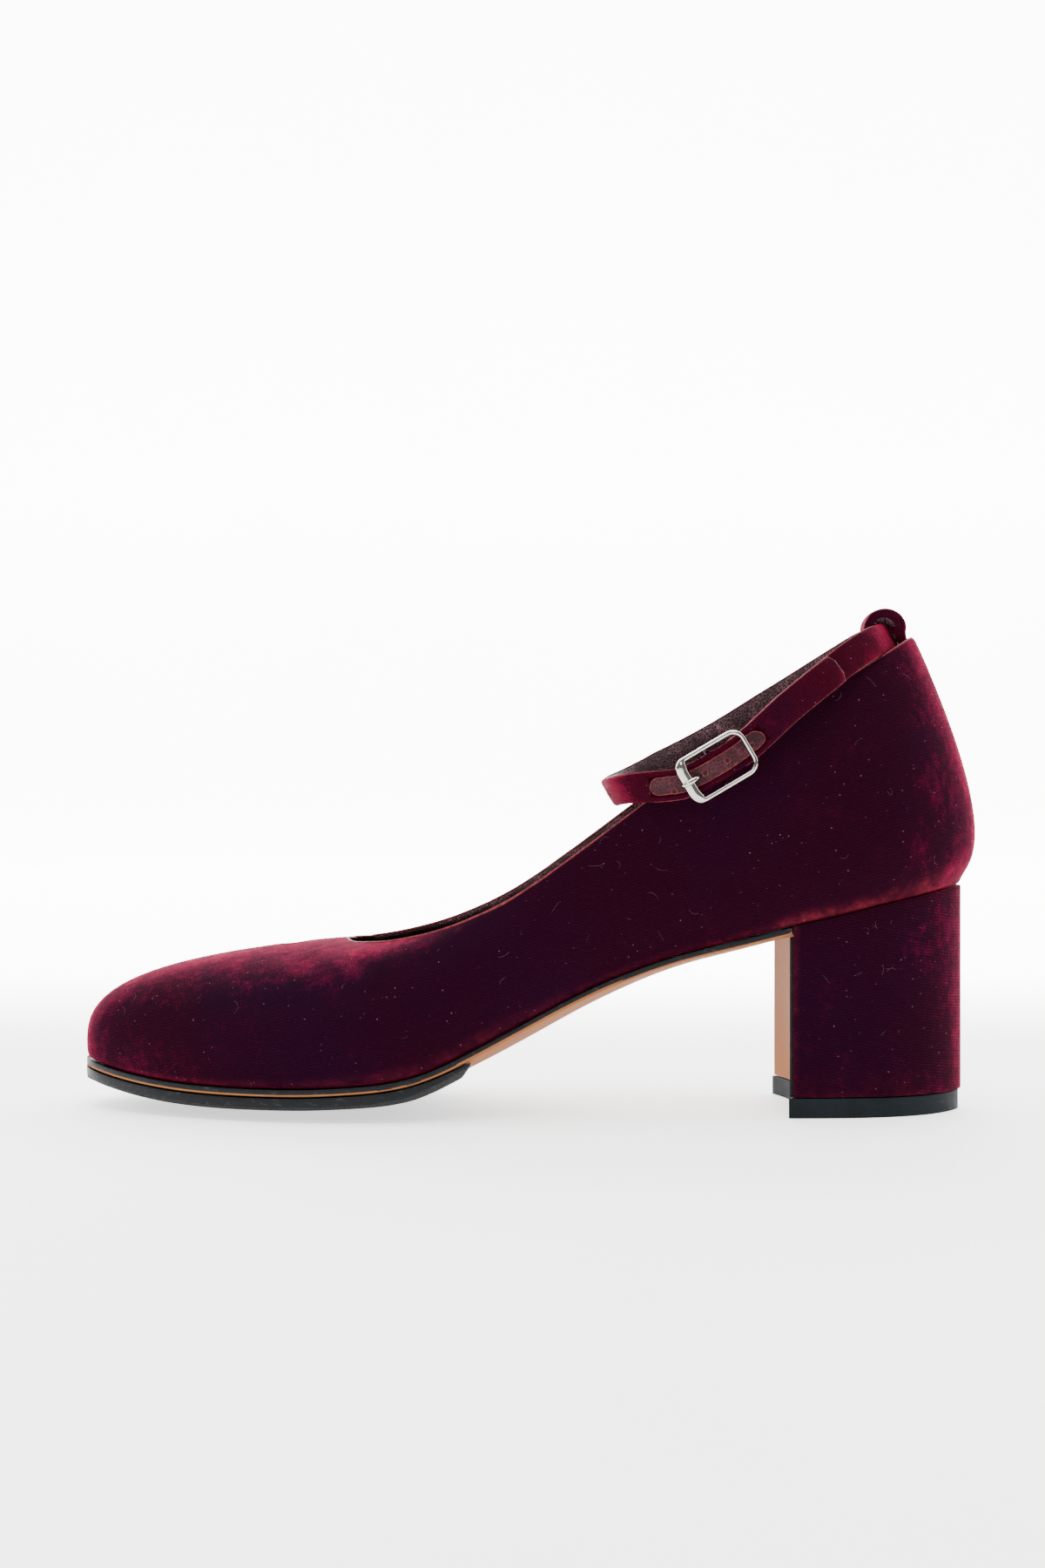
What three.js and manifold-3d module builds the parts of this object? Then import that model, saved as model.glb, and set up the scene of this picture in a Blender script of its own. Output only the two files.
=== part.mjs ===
// A velvet mary jane pump with a covered block heel and a buckled ankle strap: one left shoe.
// Millimetres. +X runs from heel to toe, +Y to the wearer's left (the buckle side), +Z up.
// The origin is on the floor, at the centre of the heel tip's ground face.
import * as THREE from "three";
import { mergeVertices } from "three/addons/utils/BufferGeometryUtils.js";
import Module from "manifold-3d";

const wasm = await Module();
wasm.setup();

// Sizes of the last
const SOLE_LENGTH = 237.2; // feather line, rear to toe
const BALL_WIDTH = 75; // feather line at the ball
const HEEL_HEIGHT = 60.4; // feather line above the floor at the rear
const FOREFOOT_HEIGHT = 8.9; // feather line above the floor at the ball
const TOE_SPRING = 4.5; // rise of the feather line at the toe
const SOLE_CROWN = 4; // how far the bottom of the last bulges down across the waist
const CROWN_POWER = 2.5; // above 2 the bulge is flat in the middle and falls off at the edge
const TOE_SWING = 4; // the toe point lies this far towards the inner side
const SWING_POWER = 3; // the swing sets in late along the sole
const COLLAR_SWING = 0.25; // share of the swing that the collar takes part in
const COUNTER_HEIGHT = 65.9; // collar above the heel seat at the centre back
const INSTEP_HEIGHT = 36.7; // throat above the feather line at the ball
const OPENING_LENGTH = 153.2; // collar, centre back to throat
const OPENING_WIDTH = 61; // collar at its widest
const COLLAR_LEAN = 12.5; // the collar's back lies this far in front of the seat's rear edge
const COUNTER_BULGE = 7; // fullness of the sides and counter beyond the feather line

// Upper, insole and soles
const UPPER_WALL = 1.8;
const LASTING_MARGIN = 8; // turned in under the insole
const FEATHER_ROLL = 1.8; // the soft corner between side and margin
const ROLL_INSET = 0.25; // where its middle lies, shares of the roll inwards and up
const ROLL_LIFT = 0.3;
const RIM_LIFT = 0.3; // the collar's rounded edge, a share of the wall
const INSOLE_THICKNESS = 2.2;
const INSOLE_INSET = 2.6; // from the feather line to the insole's edge
const OUTSOLE_THICKNESS = 2.6;
const OUTSOLE_EDGE = 1.8;
const HALF_SOLE_THICKNESS = 2.5;
const HALF_SOLE_SKIVE = 0.9; // thickness left at its rear edge
const SKIVE_LENGTH = 16;
const HALF_SOLE_SCALLOP = 4; // how far the rear edge is drawn forward at the middle
const HOLLOW_FADE = 2; // stations over which a hollow end dies away into the sole
const FIT = 0.3; // clearance between pieces that touch
const SOLE_FIT = 0.4; // the same between upper, outsole and half sole

// Heel
const TIP_THICKNESS = 5.2;
const TIP_OVERHANG = 1.2; // the tip's front corners ahead of the block's
const SEAT_TUCK = 0.9; // the tip's rear edge in from the seat's rear edge
const BLOCK_INSET = 0.2; // the block's sides in from the feather line
const BREAST_HOLLOW = 5;
const HOLLOW_POWER = 4; // keeps the hollow to the front of the heel
const BREAST_COVER = 1;
const COVER_INSET = 1.2; // the cover's sides in from the block's corners

// Strap, loop and buckle
const STRAP_WIDTH = 8;
const STRAP_THICKNESS = 1.8;
const STRAP_REACH = 75.2; // back of the loop of strap to its front
const STRAP_SETBACK = 6.9; // the strap's back in front of the collar's back
const STRAP_SPREAD = 32.6; // half the width of the loop of strap
const STRAP_TILT = 0.53; // radians that the loop of strap tips forward
const TAIL_END = 3.4; // rows of the path that the tail runs on past the buckle
const TAIL_POINT = 0.62; // the tail's width at its end, a share of STRAP_WIDTH
const STRAP_START = 0.1; // rows of the path that the strap starts past the centre bar
const LAP_START = 2.4; // rows before the buckle where the strap starts to lap over itself
const LAP_END = 1;
const HUMP_REACH = 0.9; // rows either side of the centre bar over which it rises
const STRIP_END_GAP = 1 / 12; // rows of the path for a millimetre of clearance
const STRIP_WIDTH = 4.5;
const STRIP_THICKNESS = 0.7;
const STRIP_PROUD = 0.3;
const LOOP_WIDTH = 10;
const LOOP_THICKNESS = 1.4;
const LOOP_HEIGHT = 14.3;
const LOOP_BURIED = 7.4; // its foot lies this far below the collar
const LOOP_DEPTH = 10.5;
const FRAME_LENGTH = 20;
const FRAME_WIDTH = 12.8;
const FRAME_END_BAR = 2;
const FRAME_SIDE_BAR = 1.3;
const FRAME_THICKNESS = 1.5;
const FRAME_CORNER = 3;
const FRAME_BEVEL = 0.35;
const BAR_RADIUS = 0.8;
const EYE_WALL = 0.9; // strap folded round the centre bar
const PRONG_RADIUS = 0.65;
// The prong's side view, shares of the way from the centre bar to the front bar:
const PRONG_LOW_END = 0.45; // up to here it lies at the bar's height
const PRONG_MIDDLE = 0.68;
const PRONG_HIGH_START = 0.86; // from here it lies on top of the frame
const PRONG_SEATING = 0.6; // share of the eye's wall or end bar that its ends reach over

// Fineness of the faceted surfaces
const STEPS_PER_STATION = 3;
const SIDE_STEPS = 6;
const ACROSS_STEPS = 6;
const STRAP_STEPS_PER_ROW = 3;
const LOOP_STEPS_PER_ROW = 2;
const ROD_SIDES = 12;
const RING_STEPS = 8;
const CORNER_STEPS = 4;
const PRONG_STEPS = 12;
const BAND_EDGE_STEPS = 3;
const MERGE_DISTANCE = 1e-3;
const SLOPE_REACH = 4; // the bottom's slope is taken over this much either way
const TANGENT_STEP = 0.1; // rows either side of a place that give its direction

const BREAST_SHARE = 0.2007; // the heel's front, a share of SOLE_LENGTH

// Stations round the shoe, from the centre back to the toe, the same along both sides.
// The feather line, where the upper turns under:
//   sole      share of SOLE_LENGTH along it
//   outer     its distance from the middle on the buckle side, a share of half BALL_WIDTH
//   inner     the same on the inner side
//   rise      share of the heel's lift that it has there
//   spring    share of TOE_SPRING
//   crown     share of SOLE_CROWN
const FEATHER_ROWS = [
  { sole: 0, outer: 0, inner: 0, rise: 1, spring: 0, crown: 0.1 },
  { sole: 0.0135, outer: 0.24, inner: 0.24, rise: 0.99, spring: 0, crown: 0.1 },
  { sole: 0.049, outer: 0.467, inner: 0.467, rise: 0.957, spring: 0, crown: 0.15 },
  { sole: 0.096, outer: 0.6, inner: 0.6, rise: 0.912, spring: 0, crown: 0.2 },
  { sole: 0.152, outer: 0.655, inner: 0.655, rise: 0.85, spring: 0, crown: 0.25 },
  { sole: BREAST_SHARE, outer: 0.667, inner: 0.662, rise: 0.802, spring: 0, crown: 0.3 },
  { sole: 0.257, outer: 0.667, inner: 0.645, rise: 0.737, spring: 0, crown: 0.35 },
  { sole: 0.336, outer: 0.67, inner: 0.625, rise: 0.645, spring: 0, crown: 0.45 },
  { sole: 0.425, outer: 0.72, inner: 0.64, rise: 0.49, spring: 0, crown: 0.78 },
  { sole: 0.521, outer: 0.866, inner: 0.787, rise: 0.264, spring: 0, crown: 0.97 },
  { sole: 0.614, outer: 0.985, inner: 0.935, rise: 0.062, spring: 0, crown: 0.9 },
  { sole: 0.707, outer: 1.01, inner: 0.99, rise: 0.008, spring: 0, crown: 0.85 },
  { sole: 0.795, outer: 0.935, inner: 0.955, rise: 0, spring: 0, crown: 0.85 },
  { sole: 0.876, outer: 0.765, inner: 0.825, rise: 0, spring: 0.12, crown: 0.8 },
  { sole: 0.939, outer: 0.54, inner: 0.6, rise: 0, spring: 0.45, crown: 0.6 },
  { sole: 0.986, outer: 0.28, inner: 0.31, rise: 0, spring: 0.88, crown: 0.3 },
  { sole: 1, outer: 0, inner: 0, rise: 0, spring: 1, crown: 0.2 },
];
// The collar above it, with a row for each of the same stations:
//   collar    share of OPENING_LENGTH along the collar
//   gape      its distance from the middle, a share of half OPENING_WIDTH
//   slope     share of the fall from the collar's back to the throat that is still to come
const COLLAR_ROWS = [
  { collar: 0, gape: 0, slope: 1 },
  { collar: 0.013, gape: 0.23, slope: 0.99 },
  { collar: 0.047, gape: 0.46, slope: 0.952 },
  { collar: 0.106, gape: 0.64, slope: 0.885 },
  { collar: 0.18, gape: 0.77, slope: 0.802 },
  { collar: 0.245, gape: 0.86, slope: 0.728 },
  { collar: 0.32, gape: 0.93, slope: 0.638 },
  { collar: 0.44, gape: 0.985, slope: 0.505 },
  { collar: 0.572, gape: 1, slope: 0.32 },
  { collar: 0.7, gape: 0.985, slope: 0.152 },
  { collar: 0.813, gape: 0.9, slope: 0.053 },
  { collar: 0.903, gape: 0.71, slope: 0.008 },
  { collar: 0.958, gape: 0.5, slope: -0.006 },
  { collar: 0.986, gape: 0.31, slope: -0.005 },
  { collar: 0.996, gape: 0.165, slope: -0.002 },
  { collar: 0.999, gape: 0.075, slope: 0 },
  { collar: 1, gape: 0, slope: 0 },
];
const STATIONS = FEATHER_ROWS.map((row, k) => ({ ...row, ...COLLAR_ROWS[k] }));
const BREAST_STATION = STATIONS.findIndex((row) => row.sole === BREAST_SHARE);
const TOE_STATION = STATIONS.length - 1;
const HALF_SOLE_STATION = BREAST_STATION + 4 + 1 / 3;

// Form of the side between feather line and collar, at a few of the stations.
//   lowOut, highOut   fullness at the lower and upper control points, shares of COUNTER_BULGE
//   lowUp, highUp     their heights, shares of the way up
//   over              how far the upper control point leans over towards the collar
const SIDE_FORMS = [
  { station: 0, lowOut: 1, lowUp: 0.09, highOut: 0.85, highUp: 0.36, over: 0 },
  { station: 3, lowOut: 0.9, lowUp: 0.12, highOut: 0.95, highUp: 0.45, over: 0.2 },
  { station: 5, lowOut: 0.75, lowUp: 0.16, highOut: 0.95, highUp: 0.55, over: 0.45 },
  { station: 8, lowOut: 0.72, lowUp: 0.26, highOut: 0.6, highUp: 0.7, over: 0.5 },
  { station: 10, lowOut: 0.72, lowUp: 0.32, highOut: 0.55, highUp: 0.84, over: 0.36 },
  { station: 12, lowOut: 0.75, lowUp: 0.42, highOut: 0.45, highUp: 0.9, over: 0.4 },
  { station: 14, lowOut: 0.85, lowUp: 0.6, highOut: 0.25, highUp: 0.88, over: 0.4 },
  { station: 16, lowOut: 0.9, lowUp: 0.66, highOut: 0.1, highUp: 0.86, over: 0.4 },
];

// Path of the strap's centre line round the ankle, closed, from the centre back along the buckle side.
//   reach   share of STRAP_REACH forward
//   spread  share of STRAP_SPREAD sideways
//   lift    height above the collar at that place, a share of STRAP_WIDTH
const STRAP_PATH = [
  { reach: 0, spread: 0, lift: 0.51 },
  { reach: 0.037, spread: 0.276, lift: 0.61 },
  { reach: 0.088, spread: 0.5, lift: 0.69 },
  { reach: 0.174, spread: 0.68, lift: 0.66 },
  { reach: 0.279, spread: 0.815, lift: 0.49 },
  { reach: 0.411, spread: 0.91, lift: 0.23 },
  { reach: 0.541, spread: 0.96, lift: -0.13 },
  { reach: 0.651, spread: 0.988, lift: -0.21 },
  { reach: 0.772, spread: 1, lift: -0.1 },
  { reach: 0.878, spread: 0.982, lift: 0.5 },
  { reach: 0.947, spread: 0.877, lift: 0.91 },
  { reach: 0.984, spread: 0.644, lift: 1.1 },
  { reach: 0.997, spread: 0.307, lift: 1.14 },
  { reach: 1, spread: -0.061, lift: 1.15 },
  { reach: 0.979, spread: -0.42, lift: 1.12 },
  { reach: 0.92, spread: -0.74, lift: 0.95 },
  { reach: 0.805, spread: -0.93, lift: 0.72 },
  { reach: 0.647, spread: -1, lift: 0.6 },
  { reach: 0.463, spread: -0.975, lift: 0.58 },
  { reach: 0.305, spread: -0.87, lift: 0.6 },
  { reach: 0.174, spread: -0.7, lift: 0.66 },
  { reach: 0.08, spread: -0.49, lift: 0.69 },
  { reach: 0.037, spread: -0.276, lift: 0.63 },
];
const BUCKLE_ROW = 7;
const STRIP_START_ROW = 8.9;
const STRIP_END_ROW = 5.65;

// Side view of the back loop's centre line, closed, from the foot that is sewn inside the counter.
//   forward  share of LOOP_DEPTH in front of the collar's inner face
//   up       share of LOOP_HEIGHT above the foot
const LOOP_PATH = [
  { forward: -0.29, up: 0 },
  { forward: -0.1, up: 0.32 },
  { forward: 0, up: 0.58 },
  { forward: -0.02, up: 0.75 },
  { forward: 0.11, up: 0.91 },
  { forward: 0.4, up: 1 },
  { forward: 0.74, up: 0.92 },
  { forward: 0.9, up: 0.68 },
  { forward: 0.79, up: 0.37 },
  { forward: 0.42, up: 0.12 },
  { forward: 0.02, up: -0.02 },
];

// The tip runs from the seat's rear edge to just past the breast, and the origin is at its middle.
const REAR = -(BREAST_SHARE * SOLE_LENGTH + TIP_OVERHANG + SEAT_TUCK) / 2;
const HEEL_LIFT = HEEL_HEIGHT - FOREFOOT_HEIGHT;
const THROAT_HEIGHT = FOREFOOT_HEIGHT + INSTEP_HEIGHT;
const COLLAR_FALL = HEEL_HEIGHT + COUNTER_HEIGHT - THROAT_HEIGHT;

// Smooth curves through the rows of a table

function blend(a, b, c, d, u) {
  const bend = -a + 3 * b - 3 * c + d;
  return 0.5 * (2 * b + (c - a) * u + (2 * a - 5 * b + 4 * c - d) * u * u + bend * u * u * u);
}

// The row at a place between rows, each column run smoothly; the table closes on itself.
function closedRow(rows, place) {
  const count = rows.length;
  const first = Math.floor(place);
  const near = [-1, 0, 1, 2].map((k) => rows[(((first + k) % count) + count) % count]);
  const row = {};
  for (const column of Object.keys(rows[0]))
    row[column] = blend(...near.map((r) => r[column]), place - first);
  return row;
}

// The row at a value of the key column, run straight between the rows round it.
function rowAt(rows, key, value) {
  let next = rows.findIndex((r) => r[key] >= value);
  if (next < 0) next = rows.length - 1;
  next = Math.max(next, 1);
  const [a, b] = [rows[next - 1], rows[next]];
  const share = THREE.MathUtils.clamp((value - a[key]) / (b[key] - a[key]), 0, 1);
  const row = {};
  for (const column of Object.keys(a)) row[column] = THREE.MathUtils.lerp(a[column], b[column], share);
  return row;
}

// The last

// A station's sizes in millimetres on one side: +1 is the buckle side, -1 the inner side.
function stationSizes(row, index, side) {
  const form = rowAt(SIDE_FORMS, "station", index);
  const swing = TOE_SWING * row.sole ** SWING_POWER;
  return {
    x: REAR + row.sole * SOLE_LENGTH,
    y: side * (side > 0 ? row.outer : row.inner) * (BALL_WIDTH / 2) - swing,
    z: FOREFOOT_HEIGHT + row.rise * HEEL_LIFT + row.spring * TOE_SPRING,
    crown: row.crown * SOLE_CROWN,
    collarX: REAR + COLLAR_LEAN + row.collar * OPENING_LENGTH,
    collarY: side * row.gape * (OPENING_WIDTH / 2) - COLLAR_SWING * swing,
    collarZ: THROAT_HEIGHT + row.slope * COLLAR_FALL,
    lowOut: form.lowOut * COUNTER_BULGE,
    lowUp: form.lowUp,
    highOut: form.highOut * COUNTER_BULGE,
    highUp: form.highUp,
    over: form.over,
  };
}

const OUTER_SIDE = STATIONS.map((row, k) => stationSizes(row, k, 1));
const INNER_SIDE = STATIONS.map((row, k) => stationSizes(row, k, -1));
const ROUND_THE_LAST = [...OUTER_SIDE, ...INNER_SIDE.slice(1, -1).reverse()];

// Place on the closed round of stations, of a station on one side.
function placeOf(station, side) {
  return side > 0 ? station : ROUND_THE_LAST.length - station;
}

// Unit vector pointing away from the shoe, level, across the feather line.
function outwardAt(place) {
  const before = closedRow(ROUND_THE_LAST, place - TANGENT_STEP / 2);
  const after = closedRow(ROUND_THE_LAST, place + TANGENT_STEP / 2);
  return new THREE.Vector3(-(after.y - before.y), after.x - before.x, 0).normalize();
}

// The feather line as level stretches across the shoe, from rear to toe.
const SOLE_LINES = [];
for (let k = 0; k <= TOE_STATION * STEPS_PER_STATION; k++) {
  const station = k / STEPS_PER_STATION;
  const outer = closedRow(ROUND_THE_LAST, placeOf(station, 1));
  const inner = closedRow(ROUND_THE_LAST, placeOf(station, -1));
  const middle = (outer.y + inner.y) / 2;
  const half = (outer.y - inner.y) / 2;
  SOLE_LINES.push({ station, x: outer.x, middle, half, z: outer.z, crown: outer.crown });
}

// Height of the last's bottom, which bulges down between the feather lines.
function bottomAt(x, y) {
  const line = rowAt(SOLE_LINES, "x", x);
  const across = line.half > 0 ? Math.min(1, Math.abs(y - line.middle) / line.half) : 1;
  return line.z - line.crown * (1 - across ** CROWN_POWER);
}

// Upright distance across a gap or layer of one millimetre, where the bottom slopes.
function steepnessAt(x) {
  const reach = SLOPE_REACH;
  const slope = (rowAt(SOLE_LINES, "x", x + reach).z - rowAt(SOLE_LINES, "x", x - reach).z) / (2 * reach);
  return Math.hypot(1, slope);
}

// How far in from the feather line a point lies, 0 at the edge and 1 on the middle line.
function inwardAt(x, y) {
  const line = rowAt(SOLE_LINES, "x", x);
  return line.half > 0 ? 1 - Math.min(1, Math.abs(y - line.middle) / line.half) : 0;
}

// Solids from triangles

// A closed geometry from triangles given as three points each.
function closedGeometry(triangles) {
  const loose = new THREE.BufferGeometry().setFromPoints(triangles.flat());
  const merged = mergeVertices(loose, MERGE_DISTANCE);
  const index = merged.index.array;
  const kept = [];
  for (let k = 0; k < index.length; k += 3) {
    const [a, b, c] = [index[k], index[k + 1], index[k + 2]];
    if (a !== b && b !== c && c !== a) kept.push(a, b, c);
  }
  merged.setIndex(kept);
  return merged;
}

function quad(a, b, c, d) {
  return [
    [a, b, c],
    [a, c, d],
  ];
}

// Skin over rings of points. Each ring is closed, and so is the row of rings where ends is false.
function ringSkin(rings, ends) {
  const triangles = [];
  const last = ends ? rings.length - 1 : rings.length;
  for (let k = 0; k < last; k++) {
    const [low, high] = [rings[k], rings[(k + 1) % rings.length]];
    low.forEach((point, j) => {
      const next = (j + 1) % low.length;
      triangles.push(...quad(point, low[next], high[next], high[j]));
    });
  }
  if (ends) {
    const [first, final] = [rings[0], rings[rings.length - 1]];
    for (let j = 1; j < first.length - 1; j++) {
      triangles.push([first[0], first[j + 1], first[j]]);
      triangles.push([final[0], final[j], final[j + 1]]);
    }
  }
  return closedGeometry(triangles);
}

// A pad over the sole's plan: point(k, across, top) gives its corners, with k from 0 to rows,
// across from -1 on the inner side to 1 on the buckle side, and top true for the upper face.
function pad(rows, point) {
  const face = (top) =>
    Array.from({ length: rows + 1 }, (_, k) =>
      Array.from({ length: ACROSS_STEPS + 1 }, (_, j) => point(k, (2 * j) / ACROSS_STEPS - 1, top)),
    );
  const [over, under] = [face(true), face(false)];
  const triangles = [];
  for (let k = 0; k < rows; k++) {
    for (let j = 0; j < ACROSS_STEPS; j++) {
      triangles.push(...quad(over[k][j], over[k + 1][j], over[k + 1][j + 1], over[k][j + 1]));
      triangles.push(...quad(under[k][j], under[k][j + 1], under[k + 1][j + 1], under[k + 1][j]));
    }
    const end = ACROSS_STEPS;
    triangles.push(...quad(under[k][0], under[k + 1][0], over[k + 1][0], over[k][0]));
    triangles.push(...quad(under[k][end], over[k][end], over[k + 1][end], under[k + 1][end]));
  }
  for (let j = 0; j < ACROSS_STEPS; j++) {
    triangles.push(...quad(under[0][j], over[0][j], over[0][j + 1], under[0][j + 1]));
    triangles.push(...quad(under[rows][j], under[rows][j + 1], over[rows][j + 1], over[rows][j]));
  }
  return closedGeometry(triangles);
}

// Joining and cutting

function toManifold(geometry) {
  const bare = geometry.clone();
  for (const name of Object.keys(bare.attributes)) if (name !== "position") bare.deleteAttribute(name);
  const merged = mergeVertices(bare, MERGE_DISTANCE);
  return new wasm.Manifold(
    new wasm.Mesh({
      numProp: 3,
      vertProperties: new Float32Array(merged.attributes.position.array),
      triVerts: new Uint32Array(merged.index.array),
    }),
  );
}

function toGeometry(solid) {
  const mesh = solid.getMesh();
  return new THREE.BufferGeometry()
    .setAttribute("position", new THREE.BufferAttribute(mesh.vertProperties, 3))
    .setIndex(new THREE.BufferAttribute(mesh.triVerts, 1));
}

const joined = (...geometries) => toGeometry(geometries.map(toManifold).reduce((a, b) => a.add(b)));
const cutBy = (body, ...tools) =>
  toGeometry(tools.map(toManifold).reduce((left, tool) => left.subtract(tool), toManifold(body)));

// Upper

// The outer surface at one place round the last: from the lasting margin's edge, round the
// feather line and up the side to the collar.
function sideLine(place) {
  const s = closedRow(ROUND_THE_LAST, place);
  const outward = outwardAt(place);
  const feather = new THREE.Vector3(s.x, s.y, 0);
  const under = (inset) => {
    const point = feather.clone().addScaledVector(outward, -inset);
    return point.setZ(bottomAt(point.x, point.y));
  };
  const corner = under(FEATHER_ROLL * ROLL_INSET).add(new THREE.Vector3(0, 0, FEATHER_ROLL * ROLL_LIFT));
  const start = new THREE.Vector3(s.x, s.y, s.z + FEATHER_ROLL);
  const end = new THREE.Vector3(s.collarX, s.collarY, s.collarZ);
  const level = (share) => THREE.MathUtils.lerp(start.z, end.z, share);
  const low = start.clone().addScaledVector(outward, s.lowOut).setZ(level(s.lowUp));
  const high = start.clone().lerp(end, s.over).addScaledVector(outward, s.highOut).setZ(level(s.highUp));
  const side = new THREE.CubicBezierCurve3(start, low, high, end).getPoints(SIDE_STEPS);
  return [under(LASTING_MARGIN), under(FEATHER_ROLL), corner, ...side];
}

// The same surface one wall further in, along the surface's own normals.
function innerSkin(lines) {
  const count = lines.length;
  return lines.map((line, j) => {
    const [before, after] = [lines[(j + count - 1) % count], lines[(j + 1) % count]];
    return line.map((point, k) => {
      const up = line[Math.min(k + 1, line.length - 1)].clone().sub(line[Math.max(k - 1, 0)]);
      const along = after[k].clone().sub(before[k]);
      const inward = along.cross(up).normalize();
      return point.clone().addScaledVector(inward, UPPER_WALL);
    });
  });
}

function upper() {
  const count = ROUND_THE_LAST.length * STEPS_PER_STATION;
  const outside = Array.from({ length: count }, (_, j) => sideLine(j / STEPS_PER_STATION));
  const inside = innerSkin(outside);
  const rings = outside.map((line, j) => {
    const rim = line.at(-1).clone().add(inside[j].at(-1)).multiplyScalar(0.5);
    rim.z += UPPER_WALL * RIM_LIFT;
    return [...line, rim, ...inside[j].toReversed()];
  });
  return ringSkin(rings, false);
}

// Insole and soles

function insole() {
  const edge = (k, side) => {
    const place = placeOf(k / STEPS_PER_STATION, side);
    const s = closedRow(ROUND_THE_LAST, place);
    return new THREE.Vector3(s.x, s.y, 0).addScaledVector(outwardAt(place), -INSOLE_INSET);
  };
  const underside = UPPER_WALL + 2 * FIT;
  return pad(SOLE_LINES.length - 1, (k, across, top) => {
    const point = edge(k, -1).lerp(edge(k, 1), (across + 1) / 2);
    const lift = (underside + (top ? INSOLE_THICKNESS : 0)) * steepnessAt(point.x);
    return point.setZ(bottomAt(point.x, point.y) + lift);
  });
}

// A point of the sole's plan, with the rear edge drawn in by a hollow that fades out forwards.
function solePlan(station, across, hollow, hollowStation) {
  const line = rowAt(SOLE_LINES, "station", station);
  const fade = Math.max(0, 1 - Math.abs(station - hollowStation) / HOLLOW_FADE) ** 2;
  const x = line.x + hollow * fade * (1 - across * across);
  return new THREE.Vector3(x, line.middle + across * line.half, 0);
}

const outsoleUnderside = (x, y) => {
  const depth = THREE.MathUtils.lerp(OUTSOLE_EDGE, OUTSOLE_THICKNESS, inwardAt(x, y) ** 0.5);
  return bottomAt(x, y) - (SOLE_FIT + depth) * steepnessAt(x);
};

function outsole() {
  const rows = (TOE_STATION - BREAST_STATION) * STEPS_PER_STATION;
  return pad(rows, (k, across, top) => {
    const station = BREAST_STATION + k / STEPS_PER_STATION;
    const point = solePlan(station, across, -BREAST_HOLLOW, BREAST_STATION);
    point.x += station === BREAST_STATION ? FIT : 0;
    const ceiling = bottomAt(point.x, point.y) - SOLE_FIT * steepnessAt(point.x);
    return point.setZ(top ? ceiling : outsoleUnderside(point.x, point.y));
  });
}

function halfSole() {
  const rows = Math.round((TOE_STATION - HALF_SOLE_STATION) * STEPS_PER_STATION);
  const rear = solePlan(HALF_SOLE_STATION, 1, 0, 0).x;
  return pad(rows, (k, across, top) => {
    const station = THREE.MathUtils.lerp(HALF_SOLE_STATION, TOE_STATION, k / rows);
    const point = solePlan(station, across, HALF_SOLE_SCALLOP, HALF_SOLE_STATION);
    const skive = THREE.MathUtils.clamp((point.x - rear) / SKIVE_LENGTH, 0, 1);
    const thickness = THREE.MathUtils.lerp(HALF_SOLE_SKIVE, HALF_SOLE_THICKNESS, skive);
    const ceiling = outsoleUnderside(point.x, point.y) - SOLE_FIT * steepnessAt(point.x);
    return point.setZ(top ? ceiling : Math.max(0, ceiling - thickness));
  });
}

// Heel

// A point of the heel's plan: k counts from the rear edge to the breast, whose face is hollow.
function heelPlan(k, rows, across, inset, rear, front) {
  const share = k / rows;
  const line = rowAt(SOLE_LINES, "station", share * BREAST_STATION);
  const corner = solePlan(BREAST_STATION, 1, 0, 0).x;
  const along = (line.x - REAR) / (corner - REAR);
  const x = THREE.MathUtils.lerp(REAR + rear, corner + front, along);
  const half = Math.max(0, line.half - inset * share);
  return new THREE.Vector3(
    x - BREAST_HOLLOW * along ** HOLLOW_POWER * (1 - across * across),
    line.middle + across * half,
    0,
  );
}

function heelBlock() {
  const rows = BREAST_STATION * STEPS_PER_STATION;
  return pad(rows, (k, across, top) => {
    const point = heelPlan(k, rows, across, BLOCK_INSET, BLOCK_INSET, 0);
    return point.setZ(top ? bottomAt(point.x, point.y) - FIT : TIP_THICKNESS + FIT);
  });
}

function topPiece() {
  const rows = BREAST_STATION * STEPS_PER_STATION;
  return pad(rows, (k, across, top) => {
    const point = heelPlan(k, rows, across, 0, SEAT_TUCK, TIP_OVERHANG);
    return point.setZ(top ? TIP_THICKNESS : 0);
  });
}

// Leather down the hollow breast, from the sole to the tip.
function breastCover() {
  const corner = heelPlan(1, 1, 1, 0, 0, 0);
  const middle = heelPlan(1, 1, 0, 0, 0, 0).y;
  const half = corner.y - middle - COVER_INSET;
  return pad(1, (k, across, top) => {
    const face = FIT + k * BREAST_COVER;
    const share = (across * half) / (half + COVER_INSET);
    const x = corner.x + face - BREAST_HOLLOW * (1 - share * share);
    const y = middle + across * half;
    return new THREE.Vector3(x, y, top ? outsoleUnderside(x, y) - FIT : TIP_THICKNESS + FIT);
  });
}

// Strap

const COLLAR_BACK = REAR + COLLAR_LEAN;
const STRAP_UP = new THREE.Vector3(Math.sin(STRAP_TILT), 0, Math.cos(STRAP_TILT));
const LAYER = STRAP_THICKNESS + FIT;
const EYE_RADIUS = BAR_RADIUS + FIT + EYE_WALL;
const BAR_LIFT = STRAP_THICKNESS / 2;
const HUMP = BAR_LIFT + EYE_RADIUS + FIT + STRAP_THICKNESS / 2 - LAYER;
const FRAME_LIFT = LAYER + STRAP_THICKNESS / 2 + STRIP_PROUD + FIT + FRAME_THICKNESS / 2 + FIT;
const FULL_TURN = STRAP_PATH.length;

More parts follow.
